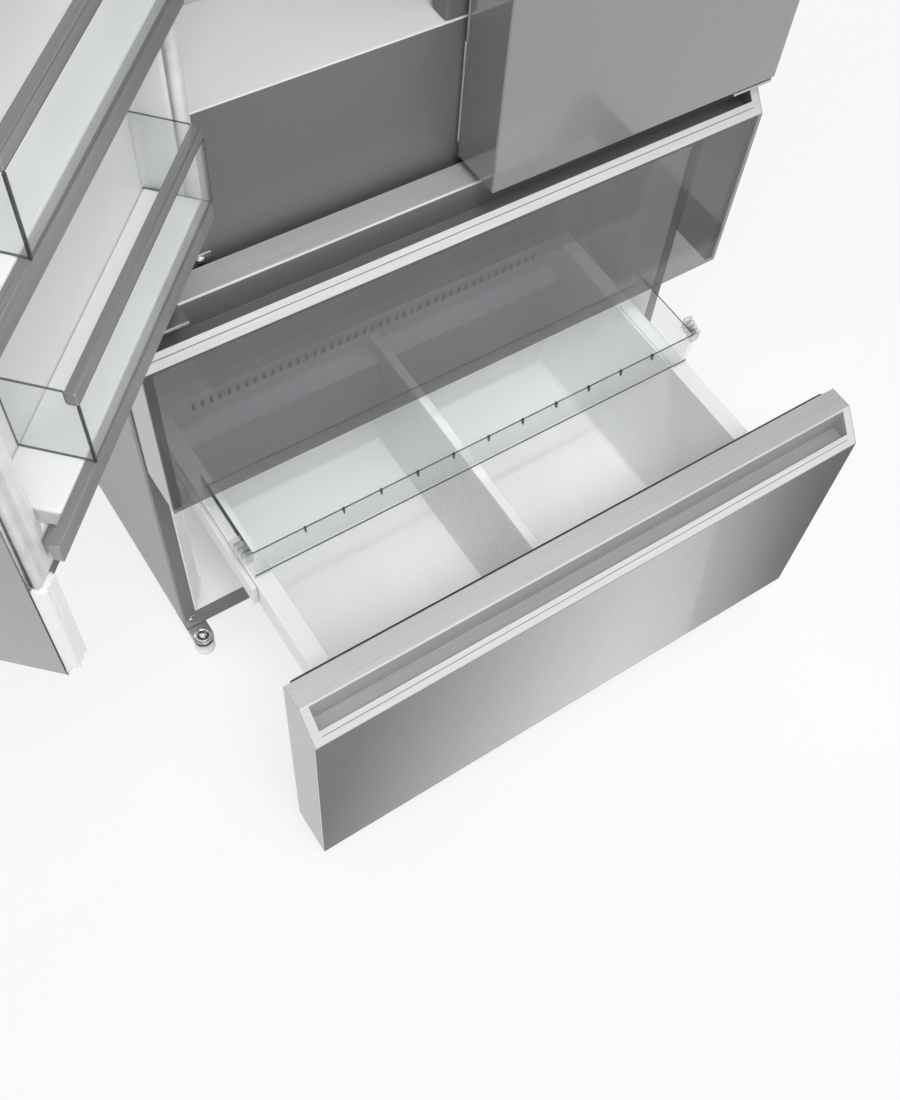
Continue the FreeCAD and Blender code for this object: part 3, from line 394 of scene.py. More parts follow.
def softened(node, convex, concave=0.0, steps=2, finishes=None, inset=None, second=is_narrow):
    """The node's own shape with rounded edges. Chosen faces take the second finish, if any."""
    shape = welded(node)
    if inset:
        for corner in shape.verts:
            inset(corner.co)
    weights = shape.edges.layers.float.new("bevel_weight_edge")
    widest = max(convex, concave)
    for edge in shape.edges:
        if not edge.is_manifold:
            continue
        angle = edge.calc_face_angle_signed()
        if abs(angle) > EDGE_ANGLE:
            wanted = convex if angle > 0 else concave
            edge[weights] = min(wanted, spare_width(edge) * ROUNDED_SHARE) / widest
    if finishes and len(finishes) > 1:
        for face in shape.faces:
            face.material_index = int(second(face))
    mesh = settled(shape, widest, steps, weighted=True)
    start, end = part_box(node)
    for corner in mesh.vertices:
        corner.co = [min(max(place, least), most) for place, least, most in zip(corner.co, start, end)]
    add_piece(f"{node}_finished", mesh, BODY_OF[node], SLOT_OF[node], [node], finishes)


def add_blocks(name, blocks, body, slot, radius=0.0):
    """One piece from boxes, each between two corners."""
    shape = bmesh.new()
    for start, end in blocks:
        centre = (Vector(start) + Vector(end)) / 2
        size = Vector(end) - Vector(start)
        place = Matrix.Translation(centre) @ Matrix.Diagonal((*size, 1))
        bmesh.ops.create_cube(shape, size=1, matrix=place)
    add_piece(name, settled(shape, radius), body, slot)


def bridge(shape, rings):
    """Faces between each closed ring of corners and the next one. A ring may be a single corner."""
    for ring, after in zip(rings, rings[1:]):
        count = max(len(ring), len(after))
        for index in range(count):
            following = (index + 1) % count
            corners = [ring[index % len(ring)], ring[following % len(ring)]]
            corners += [after[following % len(after)], after[index % len(after)]]
            shape.faces.new(list(dict.fromkeys(corners)))
    bmesh.ops.recalc_face_normals(shape, faces=shape.faces[:])


def add_loft(shape, sections):
    """Adds a closed bar through sections that have the same number of points."""
    rings = [[shape.verts.new(point) for point in section] for section in sections]
    shape.faces.new(reversed(rings[0]))
    shape.faces.new(rings[-1])
    bridge(shape, rings)


def add_prism(shape, outline, start, end):
    """Adds a bar along X whose cross-section is a closed outline of (y, z) points."""
    add_loft(shape, [[(x, y, z) for y, z in outline] for x in (start, end)])


def moved(shape, place):
    """Moves a shape. A mirrored one gets its faces turned outwards again."""
    bmesh.ops.transform(shape, matrix=place, verts=shape.verts[:])
    if place.determinant() < 0:
        bmesh.ops.reverse_faces(shape, faces=shape.faces[:])
    return shape


# Rules for what repeats


class Rule:
    """A geometry rule with named inputs, ending in whole meshes of one finish."""

    def __init__(self, name, **inputs):
        self.tree = bpy.data.node_groups.new(name, "GeometryNodeTree")
        self.source = self.tree.nodes.new("NodeGroupInput")
        self.sockets = {}
        for words, kind in {"Finish": "Material", **inputs}.items():
            title = words.replace("_", " ")
            socket = self.tree.interface.new_socket(title, in_out="INPUT", socket_type=f"NodeSocket{kind}")
            self.sockets[words] = socket.identifier

    def node(self, kind, **links):
        """A node whose named inputs are linked to an output or to one of the rule's own inputs."""
        node = self.tree.nodes.new("GeometryNode" + kind)
        for words, origin in links.items():
            output = self.source.outputs[origin] if isinstance(origin, str) else origin
            self.tree.links.new(output, node.inputs[words.replace("_", " ")])
        return node

    def close(self, points, instance, **links):
        """Ends the rule with one instance on each point."""
        meshes = {"Points": points.outputs["Mesh"], "Instance": instance.outputs["Mesh"]}
        copies = self.node("InstanceOnPoints", **meshes, **links)
        whole = self.node("RealizeInstances", Geometry=copies.outputs["Instances"])
        coated = self.node("SetMaterial", Geometry=whole.outputs["Geometry"], Material="Finish")
        self.tree.interface.new_socket("Geometry", in_out="OUTPUT", socket_type="NodeSocketGeometry")
        target = self.tree.nodes.new("NodeGroupOutput")
        self.tree.links.new(coated.outputs["Geometry"], target.inputs["Geometry"])
        return self

    def grow(self, finish, place=None, **values):
        """The plain mesh that the rule makes from these sizes, as a bmesh."""
        holder = placed("rule", bpy.data.meshes.new("rule"))
        modifier = holder.modifiers.new("rule", "NODES")
        modifier.node_group = self.tree
        modifier[self.sockets["Finish"]] = FINISHES[finish]
        for name, value in values.items():
            modifier[self.sockets[name]] = value
        shape = bmesh.new()
        shape.from_mesh(final_mesh(holder))
        return moved(shape, place or Matrix.Identity(4))


def row_of_bars():
    """Bars of one size at even steps from a first place."""
    rule = Rule("row_of_bars", Count="Int", First="Vector", Step="Vector", Size="Vector")
    line = rule.node("MeshLine", Count="Count", Start_Location="First", Offset="Step")
    return rule.close(line, rule.node("MeshCube", Size="Size"))


def field_of_studs():
    """Low round studs on a flat grid in the X-Y plane."""
    counts = dict.fromkeys(("Columns", "Rows", "Sides"), "Int")
    sizes = dict.fromkeys(("Width", "Length", "Radius", "Top_radius", "Height"), "Float")
    rule = Rule("field_of_studs", **counts, **sizes)
    grid = rule.node("MeshGrid", Vertices_X="Columns", Vertices_Y="Rows", Size_X="Width", Size_Y="Length")
    ends = {"Radius_Bottom": "Radius", "Radius_Top": "Top radius"}
    return rule.close(grid, rule.node("MeshCone", Vertices="Sides", Depth="Height", **ends))


def ring_of_teeth():
    """Bars that stand round a circle in the X-Y plane, each facing outwards."""
    rule = Rule("ring_of_teeth", Count="Int", Radius="Float", Size="Vector")
    circle = rule.node("MeshCircle", Vertices="Count", Radius="Radius")
    align = rule.tree.nodes.new("FunctionNodeAlignEulerToVector")
    align.axis = "X"
    rule.tree.links.new(rule.node("InputPosition").outputs["Position"], align.inputs["Vector"])
    return rule.close(circle, rule.node("MeshCube", Size="Size"), Rotation=align.outputs["Rotation"])


def row_of_heads():
    """Domed screw heads at even steps from a first place, flattened along the screw's axis."""
    vectors = dict.fromkeys(("First", "Step", "Flatten"), "Vector")
    rule = Rule("row_of_heads", Count="Int", Radius="Float", **vectors)
    line = rule.node("MeshLine", Count="Count", Start_Location="First", Offset="Step")
    dome = rule.node("MeshUVSphere", Radius="Radius")
    dome.inputs["Segments"].default_value = 16
    dome.inputs["Rings"].default_value = 8
    return rule.close(line, dome, Scale="Flatten")


BARS = row_of_bars()
STUDS = field_of_studs()
TEETH = ring_of_teeth()
HEADS = row_of_heads()


def add_grown(name, shapes, body, slot, finish=None, radius=0.0, nodes=()):
    """One piece from several grown shapes."""
    whole = bmesh.new()
    for shape in shapes:
        whole.from_mesh(as_mesh(shape))
    add_piece(name, settled(whole, radius), body, slot, nodes, [finish or slot])


def add_bars(name, rows, body, slot, finish=None, radius=0.0, place=None):
    """One piece from rows of bars."""
    bars = [BARS.grow(finish or slot, place, **row) for row in rows]
    add_grown(name, bars, body, slot, finish, radius)


# A screw's slot, drawn as a dark bar of painted shade, as shares of the head's height and of its radius
SLOT_LEVEL = 0.74
SLOT_DEEP = 0.5
SLOT_WIDE = 0.22
SLOT_LONG = 1.5


def add_screws(name, rows, radius, height, axis, nodes=()):
    """The cabinet's slotted screws, in rows of (count, first, step) on flat faces across an axis. Each slot is a
    dark bar on the head: painted shade.
    """
    proud = Vector(axis) * height
    flatten = [height / radius if share else 1 for share in axis]
    slot_size = [abs(share) * height * SLOT_DEEP or radius * SLOT_WIDE for share in axis]
    slot_size[0 if not axis[0] else 1] = radius * SLOT_LONG
    heads = []
    slots = []
    for count, first, step in rows:
        row = {"Count": count, "Step": step}
        heads.append(HEADS.grow("chrome_metal", First=first, Radius=radius, Flatten=flatten, **row))
        crest = Vector(first) + proud * SLOT_LEVEL
        slots.append({"First": crest, "Size": slot_size, **row})
    add_grown(name, heads, "cabinet", "chrome_metal", nodes=nodes)
    add_bars(f"{name}_slots", slots, "cabinet", "dark_plastic")


# Lower drawer

# A dark block behind the vent slots, painted shade for the bay behind them, set in from the wall's front and back
SHADE_BLOCK_SUNK = Vector((0, 2.0, 0)) * MM
SHADE_BLOCK_CLEAR = Vector((0, 0.3, 0)) * MM
# Dark lines on the tray in the painted edge shade: ticks along its front, a line near its foot and a strip along
# its left end
TICK_PITCH = 60.35 * MM
TICK_COUNT = 11
TICK_SIZE = Vector((1.8, 5.4, 11)) * MM
TICK_PROUD = 1.0 * MM
FOOT_LINE_IN = Vector((16, 0.6, 8)) * MM
FOOT_LINE_THICK = (1.6 * MM, 1.8 * MM)
STRIP_IN = Vector((6.6, 10, 2.2)) * MM
STRIP_THICK = (2.4 * MM, 5.4 * MM)
# Clips at both ends of the tray's front, measured in from its corner
KNOB_COUNT = 4
KNOB_IN = Vector((2, 4, 9)) * MM
KNOB_SIZE = Vector((15, 6.6, 22)) * MM
KNOB_STEP = Vector((1.2, 8.4, 1.2)) * MM
RIB_SHIFT = Vector((1.6, 4.2, 4)) * MM
RIB_SIZE = Vector((9, 0.8, 9)) * MM
# Dimples on the tub's divider
DIMPLE_PITCH = 6.4 * MM
DIMPLE_RADIUS = 1.7 * MM
DIMPLE_HEIGHT = 0.25 * MM
DIMPLE_MARGIN = 12 * MM
# The fine line on a rail's lip: half its width, its depth, how proud it is, its place up the slope
SEAM_WIDE = 0.55 * MM
SEAM_DEEP = 0.6 * MM
SEAM_PROUD = 0.06 * MM
SEAM_PLACE = 0.2
# A seal's cross-section, as shares of its width and of its depth
SEAL_PROFILE = [
    (0.0, 0.0), (0.0, 0.45), (0.12, 0.7), (0.26, 0.45), (0.4, 0.5), (0.46, 0.92), (0.6, 1.0),
    (0.86, 1.0), (0.97, 0.86), (1.0, 0.6), (1.0, 0.0),
]


def pull_in_ends(node):
    """Makes room for an end cap at both ends of a piece."""
    reach = high(node).x

    def inset(corner):
        if abs(corner.x) > reach - MM / 10:
            corner.x -= math.copysign(CAP_THICK, corner.x)

    return inset


def in_groove(rail):
    """Tells which faces are inside a rail's finger groove, which take a darker finish as painted shade."""
    front, top = low(rail).y, high(rail).z
    reach = high(rail).x - GROOVE_END

    def chosen(face):
        middle = face.calc_center_median()
        slope = top - SLOPE_RISE + (middle.y - front) * SLOPE_RISE / SLOPE_RUN
        inside = front + GROOVE_FRONT < middle.y < front + GROOVE_BACK
        return inside and abs(middle.x) < reach + MM and middle.z < min(slope, top) - MM

    return chosen


def rail_seam(rail):
    """The fine line along the lip in front of the finger groove."""
    front, top = low(rail).y, high(rail).z
    along = Vector((SLOPE_RUN, SLOPE_RISE)).normalized()
    outwards = Vector((-along.y, along.x))
    middle = Vector((front, top - SLOPE_RISE)) + Vector((SLOPE_RUN, SLOPE_RISE)) * SEAM_PLACE
    sunk, proud = -SEAM_DEEP, SEAM_PROUD
    shifts = [(-SEAM_WIDE, sunk), (SEAM_WIDE, sunk), (SEAM_WIDE, proud), (-SEAM_WIDE, proud)]
    corners = [tuple(middle + along * shift + outwards * rise) for shift, rise in shifts]
    reach = high(rail).x - GROOVE_END
    shape = bmesh.new()
    add_prism(shape, corners, -reach, reach)
    add_piece(f"{rail}_seam", settled(shape), BODY_OF[rail], "frame_grey")


def front_end_caps(name, rail, lower_node, panel):
    """Plates that close both ends of a drawer front."""
    front, back, top = low(rail).y, high(rail).y, high(rail).z
    behind_panel, bottom = high(panel).y, low(lower_node).z
    slope = [(front + SLOPE_RUN, top), (front, top - SLOPE_RISE), (behind_panel, top - SLOPE_RISE)]
    outline = [(behind_panel, bottom), (back, bottom), (back, top), *slope]
    reach = high(rail).x
    shape = bmesh.new()
    add_prism(shape, outline, -reach, -reach + CAP_THICK)
    add_prism(shape, outline, reach - CAP_THICK, reach)
    add_piece(name, settled(shape, 0.4 * MM), BODY_OF[rail], "cabinet_grey", finishes=["cap_grey"])


def drawer_front(drawer, groove, lower_node, panel):
    """A drawer front's grooved rail with its fine line, and the plates at both ends. The groove's darker finish is
    painted shade.
    """
    rail = f"{drawer}_handle_rail"
    finishes = ["brushed_rail", groove]
    softened(rail, 1.1 * MM, 0.6 * MM, finishes=finishes, inset=pull_in_ends(rail), second=in_groove(rail))
    rail_seam(rail)
    front_end_caps(f"{drawer}_end_caps", rail, lower_node, panel)


def seal_ring(node, width):
    """A bellows seal in a node's box, mitred at its corners."""
    start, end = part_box(node)
    shape = bmesh.new()
    rings = []
    for across, share in SEAL_PROFILE:
        inset = across * width
        y = start.y + share * (end.y - start.y)
        left, right, bottom, top = start.x + inset, end.x - inset, start.z + inset, end.z - inset
        corners = [(left, bottom), (right, bottom), (right, top), (left, top)]
        rings.append([shape.verts.new((x, y, z)) for x, z in corners])
    bridge(shape, rings + rings[:1])
    return shape


# Painted shade: a dark block behind the vent slots
def vent_shade_block():
    start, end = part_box("tub_vent_grille")
    blocks = [(start + SHADE_BLOCK_SUNK, end - SHADE_BLOCK_CLEAR)]
    add_blocks("tub_vent_shade_block", blocks, "freezer_drawer", "dark_plastic")


def tray_lines():
    start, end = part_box("freezer_tray")
    tick = Vector((-TICK_PITCH * (TICK_COUNT // 2), start.y - TICK_PROUD, end.z - TICK_SIZE.z / 2))
    tick.y += TICK_SIZE.y / 2
    foot_line = (0, start.y + FOOT_LINE_IN.y, start.z + FOOT_LINE_IN.z)
    foot_line_size = Vector((end.x - start.x - FOOT_LINE_IN.x, *FOOT_LINE_THICK))
    strip = Vector((start.x + STRIP_IN.x, (start.y + end.y) / 2, end.z - STRIP_IN.z))
    strip_size = Vector((STRIP_THICK[0], end.y - start.y - STRIP_IN.y, STRIP_THICK[1]))
    rows = [
        {"Count": TICK_COUNT, "First": tick, "Step": (TICK_PITCH, 0, 0), "Size": TICK_SIZE},
        {"Count": 1, "First": foot_line, "Size": foot_line_size},
        {"Count": 1, "First": strip, "Size": strip_size},
    ]
    add_bars("tray_lines", rows, "freezer_tray", "clear_plastic", "dark_edge_shade", 0.4 * MM)


def tray_clips():
    start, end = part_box("freezer_tray")
    knobs = []
    ribs = []
    for edge in (start.x, end.x):
        mirror = Matrix.Diagonal((math.copysign(1, edge), 1, 1))
        knob = Vector((edge, start.y + KNOB_IN.y, end.z - KNOB_IN.z)) - mirror @ Vector((KNOB_IN.x, 0, 0))
        step = mirror @ KNOB_STEP
        rib = knob + mirror @ RIB_SHIFT
        knobs.append({"Count": KNOB_COUNT, "First": knob, "Step": step, "Size": KNOB_SIZE})
        ribs.append({"Count": KNOB_COUNT - 1, "First": rib, "Step": step, "Size": RIB_SIZE})
    add_bars("tray_clip_knobs", knobs, "freezer_tray", "clear_plastic", "clear_knob", 1.4 * MM)
    add_bars("tray_clip_ribs", ribs, "freezer_tray", "clear_plastic", "clear_edge_shade", 0.2 * MM)


def divider_dimples():
    start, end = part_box("tub_divider")
    corners = [corner.co for corner in NODES["tub_divider"].data.vertices]
    heel = max(corner.y for corner in corners if corner.z < start.z + MM)
    length = heel - start.y - 2 * DIMPLE_MARGIN
    height = end.z - start.z - 2 * DIMPLE_MARGIN
    field = {"Columns": int(height / DIMPLE_PITCH), "Rows": int(length / DIMPLE_PITCH)}
    field.update(Width=height, Length=length)
    stud = {"Sides": 6, "Radius": DIMPLE_RADIUS, "Top_radius": DIMPLE_RADIUS * 0.7, "Height": DIMPLE_HEIGHT}
    dimples = []
    for side, turn in ((start.x, -90), (end.x, 90)):
        place = Matrix.Translation((side, (start.y + heel) / 2, (start.z + end.z) / 2))
        place = place @ Matrix.Rotation(math.radians(turn), 4, "Y")
        dimples.append(STUDS.grow("seal_white", place, **field, **stud))
    add_grown("divider_dimples", dimples, "freezer_drawer", "white_plastic", "seal_white")


def lower_drawer():
    softened("freezer_front_panel", 1.0 * MM)
    softened("freezer_front_body", 1.5 * MM, inset=pull_in_ends("freezer_front_body"))
    drawer_front("freezer", "groove_shade_metal", "freezer_front_body", "freezer_front_panel")
    ring = seal_ring("freezer_gasket", SEAL_WIDTH)
    add_piece("freezer_seal", settled(ring), "freezer_drawer", "seal_grey", ["freezer_gasket"])
    softened("freezer_tub", 1.3 * MM, 9 * MM, steps=3)
    softened("tub_divider", 2.2 * MM)
    softened("freezer_tray", 1.1 * MM, 3 * MM, finishes=["clear_plastic", "dark_edge_shade"])
    vent_shade_block()
    tray_lines()
    tray_clips()
    divider_dimples()


# Middle drawer


def middle_drawer():
    softened("middle_front_glass", 0.9 * MM)
    drawer_front("middle", "shaded_groove", "middle_stiles", "middle_front_glass")
    softened("middle_stiles", 1.2 * MM, inset=pull_in_ends("middle_stiles"))
    softened("middle_gasket", 2.0 * MM, 1.0 * MM, steps=3)
    softened("middle_tub", 0.8 * MM, 2 * MM, finishes=["faint_plastic", "clear_edge_shade"])


# Doors

# Ridges of a door's free edge, guards one above the other and their upright corners
RIDGE_COUNT = 3
RIDGE_FIRST = Vector((11.8, -2.8, 935)) * MM
RIDGE_STEP = Vector((7.2, 0, 0)) * MM
RIDGE_SIZE = Vector((3.6, 2.0, 140)) * MM
BIN_STEP = Vector((0, 0, 230)) * MM
CORNER_SIZE = Vector((2.4, 2.4, 73)) * MM
CORNER_PROUD = 0.1 * MM


def guard_corners(door, place):
    """The upright corners of the clear guards, painted dark as the shade where light bends."""
    start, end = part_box("right_door_guards")
    corner = CORNER_SIZE.x / 2 - CORNER_PROUD
    rows = []
    for x in (start.x + corner, end.x - corner):
        first = Vector((x, high("right_door_trims").y - corner, start.z + CORNER_SIZE.z / 2))
        rows.append({"Count": SHELF_COUNT, "First": first, "Step": BIN_STEP, "Size": CORNER_SIZE})
    add_bars(f"{door}_guard_corners", rows, door, "clear_plastic", "dark_edge_shade", 0.4 * MM, place)


def bumper_ridges(door, place):
    """Ridges along a door's free edge."""
    rows = [{"Count": RIDGE_COUNT, "First": RIDGE_FIRST, "Step": RIDGE_STEP, "Size": RIDGE_SIZE}]
    add_bars(f"{door}_bumper_ridges", rows, door, "white_plastic", radius=0.7 * MM, place=place)


def doors():
    for side, place in DOOR_PLACES.items():
        door = f"{side}_door"
        softened(f"{door}_skin", 3.0 * MM)
        softened(f"{door}_liner", 5 * MM, 6 * MM, steps=3)
        softened(f"{door}_shelves", 3.0 * MM, steps=3)
        softened(f"{door}_guards", 1.2 * MM, 3 * MM, finishes=["clear_plastic", "dark_edge_shade"])
        trim = "open_door_trim" if side == "left" else "metal_trim"
        softened(f"{door}_trims", 1.6 * MM, finishes=[trim])
        ring = moved(seal_ring("right_door_gasket", DOOR_SEAL_WIDTH), place)
        add_piece(f"{door}_seal", settled(ring), door, "seal_white", [f"{door}_gasket"])
        bumper_ridges(door, place)
        guard_corners(door, place)


# Cabinet

# A levelling foot in mm: the pad as (in from the foot's edge, up from the floor), the dark ring of painted
# shade under the bracket as (in from the edge, up from the bracket's underside), the head as (radius, up from the
# bracket)
TURNED_FACES = 32
PAD_PROFILE = [(2.5, 0), (1.2, 1.2), (1.2, 6), (4.25, 8.4), (9, 9.6)]
UNDER_SHADE_PROFILE = [(2, -6.5), (0.4, -4.9), (0.4, -0.5)]
HEAD_PROFILE = [
    (4.9, 0.3), (12, 0.3), (12, 1.6), (11.2, 2.6), (10.2, 2.6), (8.8, 1.4), (6.6, 1.4), (6.2, 3.6),
    (5.4, 5.4), (3.2, 6.8),
]
STEM_RADIUS = 4.9 * MM
STEM_BOTTOM = 9.4 * MM
# The dish's groove, where the dark finish paints shade
DISH_SHADE_INNER = 6.2 * MM
DISH_SHADE_OUTER = 8.8 * MM
TOOTH_COUNT = 26
TOOTH_SIZE = Vector((2.0, 1.8, 4.4)) * MM
TOOTH_IN = 1.2 * MM
TOOTH_LEVEL = 3.6 * MM
# The dark joint at the face frame's sides
FRAME_SEAM_IN = 0.4 * MM
FRAME_SEAM_WIDE = 3.6 * MM
FRAME_SEAM_PROUD = 0.9 * MM
FRAME_SEAM_DEEP = 2.4 * MM
FRAME_SEAM_SHORT = 3 * MM
# Screws: how far in from the edges of what they hold
SCREW_RADIUS = 5.5 * MM
HINGE_SCREW_PITCH = 33 * MM
HINGE_COVER_IN = Vector((26, 24, 1.2)) * MM
HINGE_COVER_SCREW = 4.5 * MM
FRAME_SCREW_IN = 13 * MM
FRAME_SCREW_RISE = 31 * MM
FRAME_SCREW_HIGH = 0.45 * MM
REAR_SCREW_HIGH = 1.1 * MM
REAR_SCREW_IN = 16 * MM
PANEL_SCREW_RISE = 18 * MM
# The back
SHEET_GAP = 1.2 * MM
FLANGE_WIDTH = 20 * MM
BEAD_COUNT = 5
BEAD_WIDTH = 44 * MM
BEAD_DEEP = 0.9 * MM
BEAD_STOP = 40 * MM
BEAD_RUN = 52 * MM
BEAD_PROFILE = [(-1, 0), (-0.88, 1), (0.88, 1), (1, 0)]
JOINT_SUNK = 0.1 * MM
JOINT_THICK = 0.4 * MM
# The fridge room
SHELF_TRIM_BACK = 1.6 * MM
SHELF_TRIM_THICK = (5 * MM, 10 * MM)
REST_IN = Vector((3.6, 30, 3.4)) * MM
REST_THICK = (7.6 * MM, 6 * MM)
DUCT_SLOT_COUNT = 3
DUCT_SLOT_DROP = 60 * MM
DUCT_SLOT_PITCH = 9 * MM
DUCT_SLOT_SIZE = Vector((120, 1.2, 4)) * MM
DUCT_SLOT_SUNK = 0.3 * MM
GRIP_SIZE = Vector((220, 2.6, 14)) * MM
GRIP_PROUD = 0.6 * MM
GRIP_DROP = 14 * MM


def turned(centre, profile, crest=None):
    """A shape turned about an upright axis from (radius, height) points, closed at both ends."""
    shape = bmesh.new()
    rings = [[shape.verts.new((centre.x, centre.y, profile[0][1]))]]
    angles = [math.tau * index / TURNED_FACES for index in range(TURNED_FACES)]
    for radius, height in profile:
        away = [(radius * math.cos(angle), radius * math.sin(angle)) for angle in angles]
        rings.append([shape.verts.new((centre.x + x, centre.y + y, height)) for x, y in away])
    top = profile[-1][1] if crest is None else crest
    rings.append([shape.verts.new((centre.x, centre.y, top))])
    bridge(shape, rings)
    return shape


def levelling_foot(foot):
    """A ribbed pad on a stem, a dark ring under the bracket as painted shade, and a domed head in a dished washer
    on the bracket, the dish's groove painted dark as shade.
    """
    start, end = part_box(foot)
    centre = (start + end) / 2
    reach = (end.x - start.x) / 2
    under, plate = low("foot_brackets").z, high("foot_brackets").z
    pad = [(reach - inset * MM, height * MM) for inset, height in PAD_PROFILE]
    add_piece(f"{foot}_pad", settled(turned(centre, pad)), foot, "white_plastic")
    under_shade = [(reach - inset * MM, under + height * MM) for inset, height in UNDER_SHADE_PROFILE]
    add_piece(f"{foot}_collar", settled(turned(centre, under_shade)), foot, "dark_plastic")
    place = Matrix.Translation((centre.x, centre.y, TOOTH_LEVEL))
    teeth = TEETH.grow("white_plastic", place, Count=TOOTH_COUNT, Radius=reach - TOOTH_IN, Size=TOOTH_SIZE)
    add_grown(f"{foot}_grip", [teeth], foot, "white_plastic", radius=0.4 * MM)
    head = [(STEM_RADIUS, STEM_BOTTOM)]
    head += [(radius * MM, plate + height * MM) for radius, height in HEAD_PROFILE]
    shape = turned(centre, head, end.z)
    # Painted shade: faces in the dish's groove take the dark finish
    for face in shape.faces:
        middle = face.calc_center_median()
        away = math.hypot(middle.x - centre.x, middle.y - centre.y)
        face.material_index = int(DISH_SHADE_INNER < away < DISH_SHADE_OUTER and middle.z > plate + MM)
    finishes = ["chrome_metal", "dark_plastic"]
    add_piece(f"{foot}_head", settled(shape), foot, "chrome_metal", [foot], finishes)


def frame_seams():
    """The dark joint between the side panels and the face frame."""
    start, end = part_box("front_frame")
    bottom, top = start.z + FRAME_SEAM_SHORT, end.z - FRAME_SEAM_SHORT
    outer, inner = end.x - FRAME_SEAM_IN, end.x - FRAME_SEAM_IN - FRAME_SEAM_WIDE
    front, back = end.y - FRAME_SEAM_PROUD, end.y + FRAME_SEAM_DEEP
    sides = ((-outer, -inner), (inner, outer))
    blocks = [((left, front, bottom), (right, back, top)) for left, right in sides]
    add_blocks("frame_seams", blocks, "cabinet", "dark_plastic")


def cabinet_screws():
    start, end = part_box("hinge_screws")
    radius = (end.z - start.z) / 2
    first = Vector((start.x + radius, end.y, (start.z + end.z) / 2))
    mirrored = Vector((-first.x - HINGE_SCREW_PITCH, first.y, first.z))
    rows = [(2, place, (HINGE_SCREW_PITCH, 0, 0)) for place in (first, mirrored)]
    add_screws("hinge_screw_heads", rows, radius, end.y - start.y, (0, -1, 0), ["hinge_screws"])

    corner = high("hinge_covers") - HINGE_COVER_IN
    rows = [(2, Vector((-corner.x, corner.y, corner.z)), (2 * corner.x, 0, 0))]
    add_screws("hinge_cover_screws", rows, HINGE_COVER_SCREW, HINGE_COVER_IN.z, (0, 0, 1))

    start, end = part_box("front_frame")
    side = end.x - FRAME_SCREW_IN
    rows = [(2, Vector((-side, start.y, start.z + FRAME_SCREW_RISE)), (2 * side, 0, 0))]
    add_screws("frame_screws", rows, SCREW_RADIUS, FRAME_SCREW_HIGH, (0, -1, 0))

    start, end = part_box("machine_cover")
    behind = end.y - REAR_SCREW_HIGH
    reach = end.x - FLANGE_WIDTH / 2
    levels = (start.z + REAR_SCREW_IN, end.z - REAR_SCREW_IN)
    rows = [(5, Vector((-reach, behind, level)), (reach / 2, 0, 0)) for level in levels]
    start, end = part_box("rear_panel")
    lowest = start.z + PANEL_SCREW_RISE
    step = (0, 0, (end.z - REAR_SCREW_IN - lowest) / 5)
    rows += [(6, Vector((edge, behind, lowest)), step) for edge in (-reach, reach)]
    add_screws("rear_screws", rows, SCREW_RADIUS, REAR_SCREW_HIGH, (0, 1, 0))


def rear_sheets():
    """The beaded rear panel, its flanges, the louvred cover below it and the dark joints."""
    start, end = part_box("rear_panel")
    edge = end.x - FLANGE_WIDTH
    inner = edge - SHEET_GAP
    bottom, top = start.z + SHEET_GAP, end.z - FLANGE_WIDTH - SHEET_GAP
    spacing = 2 * inner / (BEAD_COUNT + 1)
    sections = []
    for level, deep in (
        (bottom, 0), (bottom + BEAD_STOP, 0), (bottom + BEAD_RUN, BEAD_DEEP),
        (top - BEAD_RUN, BEAD_DEEP), (top - BEAD_STOP, 0), (top, 0),
    ):
        outline = [(-inner, start.y), (-inner, end.y)]
        for index in range(BEAD_COUNT):
            middle = -inner + spacing * (index + 1)
            for away, share in BEAD_PROFILE:
                outline.append((middle + away * BEAD_WIDTH / 2, end.y - deep * share))
        outline += [(inner, end.y), (inner, start.y)]
        sections.append([(x, y, level) for x, y in outline])
    shape = bmesh.new()
    add_loft(shape, sections)
    add_piece("rear_panel_beaded", settled(shape), "cabinet", "zinc_steel", ["rear_panel"])

    flanges = [
        ((-end.x, start.y, bottom), (-edge, end.y, end.z)),
        ((edge, start.y, bottom), (end.x, end.y, end.z)),
        ((-edge + SHEET_GAP / 2, start.y, end.z - FLANGE_WIDTH), (edge - SHEET_GAP / 2, end.y, end.z)),
    ]
    add_blocks("rear_flanges", flanges, "cabinet", "cabinet_grey", 0.4 * MM)

    cover_top = high("machine_cover").z

    def lower_top(corner):
        if corner.z > cover_top - MM:
            corner.z -= SHEET_GAP

    softened("machine_cover", 0.35 * MM, inset=lower_top)

    margin = 2 * SHEET_GAP
    front, back = start.y + JOINT_SUNK, start.y + JOINT_SUNK + JOINT_THICK
    joints = [
        (start.x, end.x, start.z - margin, start.z + margin),
        (-inner - margin, inner + margin, top - margin, top + margin),
        (-inner - margin, -inner + margin, start.z + margin, top - margin),
        (inner - margin, inner + margin, start.z + margin, top - margin),
    ]
    blocks = [((left, front, under), (right, back, over)) for left, right, under, over in joints]
    add_blocks("rear_joints", blocks, "cabinet", "dark_plastic")


